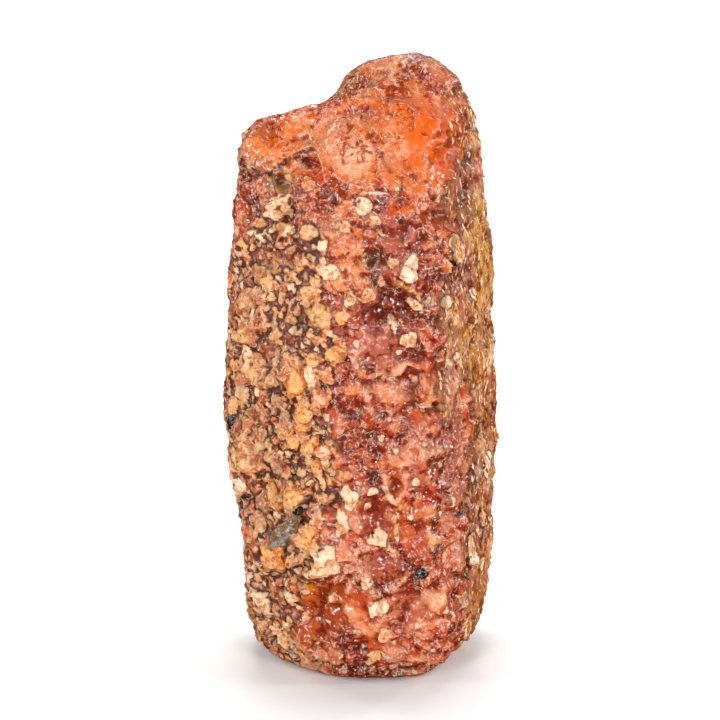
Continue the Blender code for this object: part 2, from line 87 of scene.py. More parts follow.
class Tint(Enum):
    """Colours of the stone's minerals and stains, as the eye names them."""

    ROSE = "#C04A22"
    PALE_ROSE = "#E2915E"
    CORAL = "#CD4C0A"
    SALMON = "#D36928"
    RED = "#AC3800"
    DEEP_RED = "#8D2A00"
    WINE = "#9E3620"
    MAUVE = "#B05A46"
    PURPLE = "#944246"
    EMBER = "#C23F00"
    ORANGE = "#E35E00"
    APRICOT = "#EC8038"
    HONEY = "#CF7C07"
    RUST = "#B04A0A"
    RED_BROWN = "#933314"
    BROWN = "#8F4C1B"
    UMBER = "#AC6022"
    DARK_BROWN = "#4A2410"
    OLIVE = "#85672E"
    OCHRE = "#CF9435"
    SAND = "#D9974F"
    TAN = "#F0AA60"
    CREAM = "#FFD6B0"
    WHITE = "#FFE4C6"
    BLUSH = "#FFBE98"
    GREY = "#90887A"
    MAUVE_BROWN = "#AA6048"
    BLACK = "#15110F"

    @property
    def light(self) -> np.ndarray:
        """The colour in linear light, without alpha."""
        return np.array(linear(self.value)[:3])


@dataclass(frozen=True)
class FrontView:
    """The view that the marks are placed in: from the front, a little above."""

    above: float = math.radians(22.0)
    up_at_origin: float = 1.7

    @property
    def up_axis(self) -> np.ndarray:
        """The direction that runs upright in the view."""
        return np.array((0.0, math.sin(self.above), math.cos(self.above)))

    @property
    def towards(self) -> np.ndarray:
        """The direction from the stone towards the viewer."""
        return np.array((0.0, -math.cos(self.above), math.sin(self.above)))


VIEW = FrontView()


@dataclass(frozen=True)
class Mark:
    """A place on the skin as the front view shows it, with its size and its lean in degrees to the left."""

    across: float
    up: float
    wide: float
    tall: float
    lean: float = 0.0


@dataclass(frozen=True)
class Patch(Mark):
    """A patch of colour."""

    tint: Tint = Tint.ROSE
    share: float = 0.8


@dataclass(frozen=True)
class Dent(Mark):
    """A hollow in the skin, or with a negative depth a swelling."""

    depth: float = 0.2


@dataclass(frozen=True)
class Rib:
    """A raised or, with a negative rise, sunken line along the skin, with the colour that it has."""

    places: tuple[Place, ...]
    half_width: float
    rise: float
    tint: Tint
    share: float = 0.8


@dataclass(frozen=True)
class GrainMark(Mark):
    """A grain that the front view shows."""

    tint: Tint = Tint.CREAM
    rise: float = 0.25


def kept_inside(points: np.ndarray) -> np.ndarray:
    """Keeps points in mm inside the box that the stone's skin may fill."""
    return np.clip(points, LOWEST_CORNER, HIGHEST_CORNER)


def smoothstep(low: float, high: float, value: np.ndarray) -> np.ndarray:
    """A soft step from nought at low to one at high; low may be the larger of the two."""
    share = np.clip((value - low) / (high - low), 0.0, 1.0)
    return share * share * (3.0 - 2.0 * share)


def fractal(points: np.ndarray, size: float, seed: float, octaves: int = 4) -> np.ndarray:
    """Fractal noise.

    Args:
        points: places in millimetres.
        size: length of the largest waves in millimetres.
        seed: a shift that makes this noise differ from another.
        octaves: how many times the waves are halved.

    Returns:
        One value for each point, mostly between -1 and 1.
    """
    scaled = (points / size + seed).tolist()
    return np.array([noise.fractal(place, 1.0, 2.0, octaves) for place in scaled]) * 1.6


def cells(points: np.ndarray, size: float, seed: float) -> tuple[np.ndarray, np.ndarray, np.ndarray]:
    """Splits space into crystal-like cells.

    Args:
        points: places in millimetres.
        size: mean width of a cell in millimetres.
        seed: a shift that makes these cells differ from others.

    Returns:
        For each point its offset from its cell's middle in millimetres, three random numbers from -1 to 1
        that are the same all over the cell, and how near to the cell's border it is, as a share of the size.
    """
    scaled = points / size + seed
    found = [noise.voronoi(place) for place in scaled.tolist()]
    middles = np.array([entry[1][0] for entry in found])
    distances = np.array([entry[0][:2] for entry in found])
    mixed = np.round(middles, 3) @ np.array(
        ((12.99, 78.23, 37.72), (26.65, 41.19, 93.91), (65.38, 17.84, 52.46))
    )
    drawn = np.mod(np.sin(mixed) * 4375.85, 1.0) * 2.0 - 1.0
    return (scaled - middles) * size, drawn, distances[:, 1] - distances[:, 0]


def spread_out(points: np.ndarray, order: Sequence[int], gap: Callable[[int], float]) -> list[int]:
    """Picks points that keep clear of each other.

    Args:
        points: places in millimetres.
        order: the points to try, in turn.
        gap: gives a point's least distance to the ones picked before it.

    Returns:
        The picked points.
    """
    reach = max(gap(index) for index in order[:50]) * 1.5
    grid: dict[tuple[int, int, int], list[int]] = {}
    picked = []
    for index in order:
        place = points[index]
        home = tuple(int(value) for value in np.floor(place / reach))
        near = [
            other
            for x in (-1, 0, 1) for y in (-1, 0, 1) for z in (-1, 0, 1)
            for other in grid.get((home[0] + x, home[1] + y, home[2] + z), ())
        ]
        if near and np.linalg.norm(points[near] - place, axis=1).min() < gap(index):
            continue
        grid.setdefault(home, []).append(index)
        picked.append(index)
    return picked


def add_node(
    tree: bpy.types.NodeTree, kind: str, settings: dict[str, object] | None = None,
    inputs: dict[str | int, object] | None = None,
) -> bpy.types.Node:
    """Adds a node with its settings and its inputs.

    Args:
        tree: the material's node tree.
        kind: Blender's name for the node's type.
        settings: the node's own properties.
        inputs: a socket to link, or a value to set, for each input's name or number.

    Returns:
        The new node.
    """
    node = tree.nodes.new(kind)
    for name, value in (settings or {}).items():
        setattr(node, name, value)
    for name, value in (inputs or {}).items():
        if isinstance(value, bpy.types.NodeSocket):
            tree.links.new(value, node.inputs[name])
        else:
            node.inputs[name].default_value = value
    return node


def slanted_planes(
    tree: bpy.types.NodeTree, place: bpy.types.NodeSocket, cell: bpy.types.Node
) -> tuple[bpy.types.NodeSocket, bpy.types.NodeSocket]:
    """Gives each cell of a pattern a plane with a slant of its own.

    Args:
        tree: the node tree.
        place: the socket with the place.
        cell: the cell pattern's node.

    Returns:
        The sockets with the plane's height and with its slant.
    """
    offset, lean = (
        add_node(tree, "ShaderNodeVectorMath", {"operation": "SUBTRACT"}, {0: first, 1: second}).outputs[0]
        for first, second in ((place, cell.outputs["Position"]), (cell.outputs["Color"], (0.5, 0.5, 0.5)))
    )
    plane = add_node(tree, "ShaderNodeVectorMath", {"operation": "DOT_PRODUCT"}, {0: offset, 1: lean})
    return plane.outputs["Value"], lean


class Skin:
    """The stone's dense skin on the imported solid, with a height, a colour and masks for each point."""

    BLOCK = (16.0, 14.0, 37.0)
    CELL = 0.167
    AXIS_LOW = 8.0
    AXIS_HIGH = 27.0
    CAST_FROM = 2.5
    SMOOTHINGS = 9
    WARP = 0.16

    def __init__(self, solid: bpy.types.Object) -> None:
        """Draws the skin onto the solid and softens the solid's flat faces.

        Args:
            solid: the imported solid.
        """
        self.mesh = self.block_of_cells()
        count = len(self.mesh.vertices)
        block = np.empty(count * 3)
        self.mesh.vertices.foreach_get("co", block)
        edges = np.empty(len(self.mesh.edges) * 2, int)
        self.mesh.edges.foreach_get("vertices", edges)
        self.edges = edges.reshape(-1, 2)
        self.points = self.smoothed(self.drawn_onto(solid, block.reshape(-1, 3)), self.SMOOTHINGS)
        self.place_points()
        self.height = np.zeros(count)
        self.tint = np.tile(Tint.ROSE.light, (count, 1))
        self.masks: dict[str, np.ndarray] = {}
        self.warp_across = fractal(self.points, 1.1, 3.7) * self.WARP
        self.warp_up = fractal(self.points, 1.1, 9.1) * self.WARP

    def block_of_cells(self) -> bpy.types.Mesh:
        """A closed block of nearly square cells, its foot on the ground and its middle on the Z axis.

        Returns:
            The mesh, in millimetres.
        """
        bm = bmesh.new()
        bmesh.ops.create_cube(bm, size=1.0)
        bmesh.ops.scale(bm, vec=self.BLOCK, verts=bm.verts)
        bmesh.ops.translate(bm, vec=(0.0, 0.0, self.BLOCK[2] / 2), verts=bm.verts)
        for axis, length in enumerate(self.BLOCK):
            along = [e for e in bm.edges if abs(e.verts[0].co[axis] - e.verts[1].co[axis]) > self.CELL]
            bmesh.ops.subdivide_edges(bm, edges=along, cuts=round(length / self.CELL) - 1)
        mesh = bpy.data.meshes.new("ruby_body")
        bm.to_mesh(mesh)
        bm.free()
        return mesh

    def drawn_onto(self, solid: bpy.types.Object, block: np.ndarray) -> np.ndarray:
        """Moves the block's points along rays to the axis, onto the solid's outer side.

        Args:
            solid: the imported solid.
            block: the block's points in millimetres.

        Returns:
            The moved points.
        """
        corners = [vertex.co / MM for vertex in solid.data.vertices]
        tree = BVHTree.FromPolygons(corners, [face.vertices[:] for face in solid.data.polygons])
        drawn = np.empty_like(block)
        for index, place in enumerate(block):
            origin = Vector((0.0, 0.0, min(max(place[2], self.AXIS_LOW), self.AXIS_HIGH)))
            ray = Vector(place) - origin
            hit = tree.ray_cast(origin + ray * self.CAST_FROM, -ray)[0]
            drawn[index] = hit if hit else place
        return drawn

    def smoothed(self, values: np.ndarray, rounds: int) -> np.ndarray:
        """Averages each point's values with its neighbours', round after round.

        Args:
            values: one value or one row of values for each point.
            rounds: how often they are averaged.

        Returns:
            The averaged values.
        """
        count = len(values)
        start, end = self.edges.T
        degree = np.bincount(start, minlength=count) + np.bincount(end, minlength=count)
        columns = values.reshape(count, -1).copy()
        for _ in range(rounds):
            for column in columns.T:
                total = np.bincount(start, column[end], count) + np.bincount(end, column[start], count)
                column += 0.9 * (total / degree - column)
        return columns.reshape(values.shape)

    def place_points(self) -> None:
        """Works out the points' normals and where the front view shows them."""
        self.mesh.vertices.foreach_set("co", self.points.ravel())
        self.mesh.update()
        normals = np.empty(len(self.points) * 3)
        self.mesh.vertex_normals.foreach_get("vector", normals)
        self.normals = normals.reshape(-1, 3)
        self.across = self.points[:, 0]
        self.up = self.points @ VIEW.up_axis + VIEW.up_at_origin
        self.facing = self.normals @ VIEW.towards
        self.turn = np.degrees(np.arctan2(self.points[:, 0], -self.points[:, 1]))

    def spot(self, across: float, up: float) -> int:
        """The point that the front view shows nearest to a place."""
        miss = np.hypot(self.across - across, self.up - up)
        return int(np.argmin(np.where(self.facing > 0.08, miss, np.inf)))

    def axes(self, index: int, lean: float) -> tuple[np.ndarray, np.ndarray, np.ndarray]:
        """The directions across, up and out of the skin at a point, turned by a lean in degrees to the left.

        Args:
            index: the point.
            lean: the lean in degrees.

        Returns:
            The three directions, each of length one.
        """
        normal = self.normals[index]
        right = np.cross((0.0, 0.0, 1.0), normal)
        length = np.linalg.norm(right)
        right = right / length if length > 0.05 else np.array((1.0, 0.0, 0.0))
        above = np.cross(normal, right)
        turn = math.radians(lean)
        return (
            right * math.cos(turn) + above * math.sin(turn),
            above * math.cos(turn) - right * math.sin(turn),
            normal,
        )

    def true_size(self, index: int, wide: float, tall: float) -> tuple[float, float]:
        """Turns the size that the front view shows at a point into the size along the skin.

        Args:
            index: the point.
            wide: the width in the view.
            tall: the height in the view.

        Returns:
            The width and the height along the skin.
        """
        normal = self.normals[index]
        slant_wide = max(math.sqrt(max(1.0 - normal[0] ** 2, 0.0)), 0.65)
        slant_tall = max(math.sqrt(max(1.0 - (normal @ VIEW.up_axis) ** 2, 0.0)), 0.65)
        return wide / slant_wide, tall / slant_tall

    def reach(self, mark: Mark) -> np.ndarray:
        """How far each point is from a mark's middle, where one is the mark's wavy border.

        Args:
            mark: the place, size and lean.

        Returns:
            One distance for each point, endless behind the view.
        """
        offset_across = self.across + self.warp_across - mark.across
        offset_up = self.up + self.warp_up - mark.up
        lean = math.radians(mark.lean)
        along = offset_across * math.cos(lean) + offset_up * math.sin(lean)
        over = offset_up * math.cos(lean) - offset_across * math.sin(lean)
        distance = np.hypot(along / (mark.wide / 2), over / (mark.tall / 2))
        return np.where(self.facing > LEAST_FACING, distance, np.inf)

    def line_distance(self, places: tuple[Place, ...]) -> np.ndarray:
        """How far each point is, in the front view, from a line through the places.

        Args:
            places: the line's corners.

        Returns:
            One distance in millimetres for each point, endless behind the view.
        """
        seen = np.stack([self.across + self.warp_across / 2, self.up + self.warp_up / 2], axis=1)
        nearest = np.full(len(seen), np.inf)
        for start, end in zip(np.array(places), np.array(places[1:])):
            run = end - start
            share = np.clip((seen - start) @ run / (run @ run), 0.0, 1.0)
            nearest = np.minimum(nearest, np.linalg.norm(seen - start - share[:, None] * run, axis=1))
        return np.where(self.facing > LEAST_FACING, nearest, np.inf)

    def paint(self, weight: np.ndarray, colour: np.ndarray) -> None:
        """Mixes a colour, or one colour for each point, into the skin's colour."""
        self.tint += weight[:, None] * (colour - self.tint)

    def raised(self) -> None:
        """Moves the points out by their heights, but not under the foot, and clears the heights."""
        standing = smoothstep(0.0, 0.7, self.points[:, 2]) + 0.25
        self.points = self.points + self.normals * (self.height * np.clip(standing, 0.0, 1.0))[:, None]
        self.points[:, 2] = np.maximum(self.points[:, 2], 0.0)
        self.place_points()
        self.height[:] = 0.0


@dataclass(frozen=True)
class FlatBreaks:
    """The ruby's broken faces: two sizes of slanted planes, alike in the relief and in the colour."""

    large_mm: float = 1.9
    small_mm: float = 0.70
    bend_mm: float = 1.4
    bend: float = 0.9
    slants: tuple[float, float] = (0.65, 0.50)
    line_mm: float = 0.055

    def nodes(
        self, tree: bpy.types.NodeTree, place: bpy.types.NodeSocket, crisp: bool = True
    ) -> dict[str, bpy.types.NodeSocket]:
        """Adds the pattern to a node tree.

        Args:
            tree: the tree, of a material or of geometry nodes.
            place: the socket with the place on the stone in millimetres.
            crisp: if the planes meet in sharp borders, not in short slopes that the mesh can follow.

        Returns:
            Sockets: "line_large" and "line_small" are one at a plane's border, "tone_large" and "tone_small"
                go from -0.5 to 0.5 and are high where a plane faces up, for painted light on such planes,
                "height" is the relief in millimetres.
        """
        waves = add_node(
            tree, "ShaderNodeTexNoise", {}, {"Vector": place, "Scale": 1 / self.bend_mm, "Detail": 3.0}
        ).outputs["Color"]
        waves = add_node(
            tree, "ShaderNodeVectorMath", {"operation": "SUBTRACT"}, {0: waves, 1: (0.5, 0.5, 0.5)}
        )
        waves = add_node(
            tree, "ShaderNodeVectorMath", {"operation": "SCALE"}, {0: waves.outputs[0], "Scale": self.bend}
        ).outputs[0]
        bent = add_node(tree, "ShaderNodeVectorMath", {}, {0: place, 1: waves}).outputs[0]
        sockets = {"height": 0.0}
        sizes = (self.large_mm, self.small_mm)
        for name, size, slant in zip(("large", "small"), sizes, self.slants):
            cell = add_node(
                tree, "ShaderNodeTexVoronoi", {"feature": "F1" if crisp else "SMOOTH_F1"},
                {"Vector": bent, "Scale": 1 / size, **({} if crisp else {"Smoothness": 0.22})},
            )
            plane, lean = slanted_planes(tree, bent, cell)
            sockets["height"] = add_node(
                tree, "ShaderNodeMath", {"operation": "MULTIPLY_ADD"},
                {0: plane, 1: slant, 2: sockets["height"]},
            ).outputs[0]
            sockets[f"tone_{name}"] = add_node(
                tree, "ShaderNodeVectorMath", {"operation": "DOT_PRODUCT"}, {0: lean, 1: (0.0, 0.0, -1.0)}
            ).outputs["Value"]
            border = add_node(
                tree, "ShaderNodeTexVoronoi", {"feature": "DISTANCE_TO_EDGE"},
                {"Vector": bent, "Scale": 1 / size},
            ).outputs["Distance"]
            sockets[f"line_{name}"] = add_node(
                tree, "ShaderNodeMapRange", {"interpolation_type": "SMOOTHSTEP"},
                {"Value": border, "From Max": self.line_mm / size, "To Min": 1.0, "To Max": 0.0},
            ).outputs[0]
        return sockets

    def heights(self, skin: Skin) -> np.ndarray:
        """Works out the pattern's relief in millimetres at each point of the skin.

        Args:
            skin: the skin, before its relief.

        Returns:
            One height for each point.
        """
        tree = bpy.data.node_groups.new("flat_breaks", "GeometryNodeTree")
        for way in ("INPUT", "OUTPUT"):
            tree.interface.new_socket("Geometry", in_out=way, socket_type="NodeSocketGeometry")
        place = add_node(tree, "GeometryNodeInputPosition").outputs[0]
        stored = add_node(
            tree, "GeometryNodeStoreNamedAttribute", {"data_type": "FLOAT", "domain": "POINT"},
            {
                "Geometry": add_node(tree, "NodeGroupInput").outputs[0], "Name": "relief",
                "Value": self.nodes(tree, place, crisp=False)["height"],
            },
        )
        add_node(tree, "NodeGroupOutput", {}, {0: stored.outputs[0]})
        probe = bpy.data.objects.new("relief_probe", skin.mesh)
        bpy.context.scene.collection.objects.link(probe)
        probe.modifiers.new("relief", "NODES").node_group = tree
        evaluated = probe.evaluated_get(bpy.context.evaluated_depsgraph_get())
        values = np.empty(len(skin.points))
        evaluated.data.attributes["relief"].data.foreach_get("value", values)
        bpy.data.objects.remove(probe)
        bpy.data.node_groups.remove(tree)
        return values


BREAKS = FlatBreaks()


@dataclass
class Inlays:
    """Grains that lie in the skin, nearly flush with it, each with flat sides and a slanted top."""

    skin: Skin
    seed: int
    margin: float = 0.35
    lip: float = 0.15
    bend_mm: float = 0.07
    corner_shift: float = 0.28
    supports: Span = (0.80, 1.10)
    slope: float = 0.34
    shades: Span = (0.60, 1.12)
    seen_even: float = 0.85
    edge: np.ndarray = field(init=False)
    tint: np.ndarray = field(init=False)
    lift: np.ndarray = field(init=False)

    def __post_init__(self) -> None:
        """Starts with no grain, and sorts the skin's points so that near ones are found fast."""
        count = len(self.skin.points)
        self.random = np.random.default_rng(self.seed)
        self.edge = np.full(count, -1.0)
        self.tint = np.tile(Tint.TAN.light, (count, 1))
        self.lift = np.zeros(count)
        bends = [fractal(self.skin.points, 0.7, seed, 3) for seed in (15.0, 16.0)]
        self.bend = np.stack(bends, axis=1) * self.bend_mm
        self.tree = KDTree(count)
        for index, point in enumerate(self.skin.points):
            self.tree.insert(point, index)
        self.tree.balance()

    def add(
        self, index: int, wide: float, tall: float, rise: float, lean: float, tint: np.ndarray,
        even: float = 0.0,
    ) -> None:
        """Lays one grain into the skin.

        Args:
            index: the skin's point in the grain's middle.
            wide: its width along the skin.
            tall: its height along the skin.
            rise: how far it stands out.
            lean: how far it leans to the left, in degrees.
            tint: its colour in linear light.
            even: how much of the chance in its brightness is left out.
        """
        skin = self.skin
        first, second, _ = skin.axes(index, lean)
        found = self.tree.find_range(skin.points[index], max(wide, tall) / 2 + self.margin)
        near = np.array([entry[1] for entry in found])
        offset = skin.points[near] - skin.points[index]
        along = offset @ first + self.bend[near, 0]
        over = offset @ second + self.bend[near, 1]
        inside = np.full(len(near), np.inf)
        corners = self.random.integers(5, 9)
        start = self.random.uniform(0.0, math.tau)
        for corner in range(corners):
            shift = self.random.uniform(-self.corner_shift, self.corner_shift)
            angle = start + (corner + shift) * math.tau / corners
            support = math.hypot(wide / 2 * math.cos(angle), tall / 2 * math.sin(angle))
            support *= self.random.uniform(*self.supports)
            inside = np.minimum(inside, support - along * math.cos(angle) - over * math.sin(angle))
        slant = self.random.uniform(-self.slope, self.slope, 2)
        shade = self.random.uniform(*self.shades)
        shade += even * (1.0 - shade)
        deeper = inside > self.edge[near]
        chosen = near[deeper]
        inside, along, over = inside[deeper], along[deeper], over[deeper]
        self.edge[chosen] = inside
        self.tint[chosen] = np.clip(tint * shade, 0.0, 1.0)
        top = smoothstep(-0.05, self.lip, inside)
        ditch = smoothstep(-0.30, -0.06, inside) * smoothstep(0.04, -0.06, inside)
        self.lift[chosen] = top * (rise + slant[0] * along + slant[1] * over) - 0.4 * rise * ditch

    def add_seen(self, marks: Sequence[GrainMark], share: float) -> None:
        """Lays the grains that the front view shows, with a share of their rise.

        Args:
            marks: the grains.
            share: the share of their rise.
        """
        for mark in marks:
            index = self.skin.spot(mark.across, mark.up)
            wide, tall = self.skin.true_size(index, mark.wide, mark.tall)
            self.add(index, wide, tall, mark.rise * share, mark.lean, mark.tint.light, self.seen_even)


@dataclass(frozen=True)
class RubyFinish:
    """Corundum, broken and weathered: glassy, deep red in the hollows, bright creases on the worn edges.

    The deep red of the hollows is partly painted shade, and the bright creases are painted highlights.
    """

    roughness: float = 0.14
    matrix_roughness: float = 0.36
    ior: float = 1.76
    # Dust specks, and the specks of painted glint on pale parts, would be finer than a pixel of 0.06 mm,
    # so they are drawn 0.10 mm wide
    facet_mm: float = 0.30
    chip_mm: float = 0.13
    grain_mm: float = 0.34
    speck_mm: float = 0.10
    fold_mm: float = 1.15
    thread_mm: float = 0.52
    wave_mm: float = 0.34
    ripple_mm: float = 0.16
    bump_mm: float = 0.15
    # The worn colour paints raised and up-facing parts pale: partly wear, partly painted light
    worn: str = "#FFB284"
    # Painted highlight: the pale colour of the bright creases, which stand for glints
    painted_glint: str = "#FFE2C6"
    # Specks of this colour on the pale parts: partly real specks, partly painted glint
    dust_and_glint: str = "#FFDDB2"
    # The crevice and deepened colours are painted shade in hollows, cracks, pits and on down-facing planes,
    # with the crystal's own deep red
    crevice_shade: str = "#501A05"
    deep_colour_and_shade: tuple[float, float, float, float] = (0.46, 0.19, 0.10, 1.0)
    stain_and_shade: tuple[float, float, float, float] = (0.72, 0.44, 0.24, 1.0)
    middle_depth: float = 0.52

    def noises(
        self, tree: bpy.types.NodeTree, way: bpy.types.NodeSocket, kinds: Sequence[tuple[float, float, float]]
    ) -> list[bpy.types.NodeSocket]:
        """Adds noises.

        Args:
            tree: the material's node tree.
            way: the socket with the place in millimetres.
            kinds: the size in millimetres, detail and distortion of each.

        Returns:
            One socket for each noise.
        """
        return [
            add_node(
                tree, "ShaderNodeTexNoise", {},
                {"Vector": way, "Scale": 1 / size, "Detail": detail, "Roughness": 0.62, "Distortion": bend},
            ).outputs["Fac"]
            for size, detail, bend in kinds
        ]

    def steps(
        self, tree: bpy.types.NodeTree,
        kinds: Sequence[tuple[bpy.types.NodeSocket, float, float, float, float]],
    ) -> list[bpy.types.NodeSocket]:
        """Adds smooth steps.

        Args:
            tree: the material's node tree.
            kinds: for each its value, start, end, value at the start and value at the end.

        Returns:
            One socket for each step.
        """
        return [
            add_node(
                tree, "ShaderNodeMapRange", {"interpolation_type": "SMOOTHSTEP"},
                {"Value": value, "From Min": start, "From Max": end, "To Min": first, "To Max": last},
            ).outputs[0]
            for value, start, end, first, last in kinds
        ]

    def summed(
        self, tree: bpy.types.NodeTree, start: float, kinds: Sequence[tuple[bpy.types.NodeSocket, float]]
    ) -> bpy.types.NodeSocket:
        """Adds values up.

        Args:
            tree: the material's node tree.
            start: the value to start from.
            kinds: the values, each with its share.

        Returns:
            The socket with the sum.
        """
        total = start
        for value, share in kinds:
            total = add_node(
                tree, "ShaderNodeMath", {"operation": "MULTIPLY_ADD"}, {0: value, 1: share, 2: total}
            ).outputs[0]
        return total

    def product(
        self, tree: bpy.types.NodeTree, first: bpy.types.NodeSocket, second: bpy.types.NodeSocket | float
    ) -> bpy.types.NodeSocket:
        """Multiplies two values."""
        return add_node(tree, "ShaderNodeMath", {"operation": "MULTIPLY"}, {0: first, 1: second}).outputs[0]

    def mixed(
        self, tree: bpy.types.NodeTree, colour: bpy.types.NodeSocket, kinds: Sequence[tuple],
        blend: str = "MIX",
    ) -> bpy.types.NodeSocket:
        """Lays colours over a colour.

        Args:
            tree: the material's node tree.
            colour: the colour below.
            kinds: the share and the colour of each layer, from the lowest.
            blend: how the layers are laid on.

        Returns:
            The socket with the colour.
        """
        for share, other in kinds:
            colour = add_node(
                tree, "ShaderNodeMix", {"data_type": "RGBA", "blend_type": blend},
                {0: share, 6: colour, 7: other},
            ).outputs[2]
        return colour

    def tilts(self, tree: bpy.types.NodeTree, way: bpy.types.NodeSocket) -> list[bpy.types.NodeSocket]:
        """Adds two sizes of small flat faces, each with a tilt of its own.

        Args:
            tree: the material's node tree.
            way: the socket with the place in millimetres.

        Returns:
            The height of the larger and of the smaller faces.
        """
        heights = []
        for size in (self.facet_mm, self.chip_mm):
            cell = add_node(tree, "ShaderNodeTexVoronoi", {}, {"Vector": way, "Scale": 1 / size})
            height = slanted_planes(tree, way, cell)[0]
            heights.append(self.product(tree, height, 1 / size))
        return heights

    def material(self) -> bpy.types.Material:
        """Makes the material.

        Returns:
            A material that reads the skin's tints and masks.
        """
        material = bpy.data.materials.new("broken_corundum")
        material.use_nodes = True
        tree = material.node_tree
        tree.nodes.clear()
        place = add_node(tree, "ShaderNodeAttribute", {"attribute_name": "rest"}).outputs["Vector"]
        tint, grain_tint = (
            add_node(tree, "ShaderNodeAttribute", {"attribute_name": name}).outputs["Color"]
            for name in ("tint", "grain_tint")
        )
        glassy, relief, flaky, busy, edge = (
            add_node(tree, "ShaderNodeAttribute", {"attribute_name": name}).outputs["Fac"]
            for name in ("glassy", "relief", "flaky", "busy", "edge")
        )
        breaks = BREAKS.nodes(tree, place)
        # Fibres of the flaky side run up the stone, so their pattern is drawn out along Z
        drawn_out = add_node(
            tree, "ShaderNodeVectorMath", {"operation": "MULTIPLY"}, {0: place, 1: (1.0, 1.0, 0.3)}
        ).outputs[0]
        way = add_node(
            tree, "ShaderNodeMix", {"data_type": "VECTOR"}, {0: flaky, 4: place, 5: drawn_out}
        ).outputs[1]
        grain, speck, fold, thread, wave, ripple = self.noises(
            tree, way, (
                (self.grain_mm, 6.0, 0.6), (self.speck_mm, 2.0, 0.0), (self.fold_mm, 3.0, 0.9),
                (self.thread_mm, 2.0, 1.1), (self.wave_mm, 0.5, 1.0), (self.ripple_mm, 0.5, 0.6),
            )
        )
        facet, chip = self.tilts(tree, way)
        # Painted highlights: bright creases where a slow wave crosses its middle, and on the borders of the
        # breaks
        creases = []
        for value, width in ((fold, 0.020), (thread, 0.034), (wave, 0.040), (ripple, 0.034)):
            past = add_node(tree, "ShaderNodeMath", {"operation": "SUBTRACT"}, {0: value, 1: 0.5}).outputs[0]
            past = add_node(tree, "ShaderNodeMath", {"operation": "ABSOLUTE"}, {0: past}).outputs[0]
            creases += self.steps(tree, ((past, 0.0, width, 1.0, 0.0),))
        creases += [breaks["line_large"], breaks["line_small"]]
        here = self.product(tree, self.steps(tree, ((grain, 0.48, 0.64, 0.0, 0.85),))[0], busy)
        creases = [self.product(tree, line, here) for line in creases]
        # Hollows keep the deep colour of the crystal, worn edges turn pale
        # Painted light and shade, with some of the crystal's own deep colour and some wear: hollows and
        # down-facing planes go deep and dark, raised and up-facing parts go pale
        depth = self.summed(
            tree, -0.20, (
                (relief, 0.20), (fold, 0.80), (grain, 0.58), (breaks["tone_large"], 0.34),
                (breaks["tone_small"], 0.28), (facet, 0.35),
            )
        )
        # Smooth faces keep to their own colour
        calm = add_node(
            tree, "ShaderNodeMath", {"operation": "SUBTRACT"}, {0: depth, 1: self.middle_depth}
        ).outputs[0]
        calm = self.product(tree, calm, self.steps(tree, ((busy, 0.0, 0.8, 0.60, 1.0),))[0])
        depth = self.summed(tree, self.middle_depth, ((calm, 1.0),))
        low, dark, high, dust_and_glint_specks, dull = self.steps(
            tree, (
                (depth, 0.30, 0.50, 0.0, 1.0), (depth, 0.05, 0.24, 0.6, 0.0), (depth, 0.60, 0.86, 0.0, 0.8),
                (speck, 0.60, 0.72, 0.0, 0.7), (glassy, 0.0, 1.0, 1.0, 0.0),
            )
        )
        deep = self.mixed(tree, tint, ((1.0, self.deep_colour_and_shade),), "MULTIPLY")
        pale = self.mixed(tree, tint, ((0.45, linear(self.worn)),))
        # Painted shade: dark lines along the small breaks of the dull matrix
        chinks = self.product(tree, self.product(tree, breaks["line_small"], dull), 0.3)
        colour = self.mixed(
            tree, deep, (
                (low, tint), (high, pale), (dark, linear(self.crevice_shade)),
                *((line, linear(self.painted_glint)) for line in creases),
                (self.product(tree, dust_and_glint_specks, high), linear(self.dust_and_glint)), (chinks, linear(self.crevice_shade)),
            )
        )
        # Grains lie in the skin: the fine noise frays the borders that the mesh gives them.
        # The dark gap round each grain and the dark holes in it are painted shade, the gap also a dark joint
        frayed = self.summed(tree, -0.17, ((grain, 0.34), (edge, 1.0)))
        inside, gap_out, gap_in, holes, bright = self.steps(
            tree, (
                (frayed, 0.0, 0.035, 0.0, 1.0), (frayed, -0.13, -0.04, 0.0, 1.0), (frayed, 0.0, 0.04, 1.0, 0.0),
                (wave, 0.24, 0.34, 0.85, 0.0), (grain, 0.46, 0.62, 0.0, 0.55),
            )
        )
        gap_share = self.steps(tree, ((glassy, 0.0, 1.0, 0.92, 0.30),))[0]
        gap = self.product(tree, self.product(tree, gap_out, gap_in), gap_share)
        # Grains are clean on raised, up-facing parts, darker low down: stain and wear, and painted light and
        # shade
        stain_and_shade = self.mixed(tree, grain_tint, ((1.0, self.stain_and_shade),), "MULTIPLY")
        worn = self.summed(tree, 0.0, ((depth, 1.0), (facet, 0.5), (chip, 0.3)))
        worn = self.steps(tree, ((worn, 0.36, 0.60, 0.0, 1.0),))[0]
        mineral = self.mixed(
            tree, stain_and_shade, ((worn, grain_tint), (bright, linear(self.dust_and_glint)), (holes, linear(self.crevice_shade)))
        )
        colour = self.mixed(tree, colour, ((gap, linear(self.crevice_shade)), (inside, mineral)))
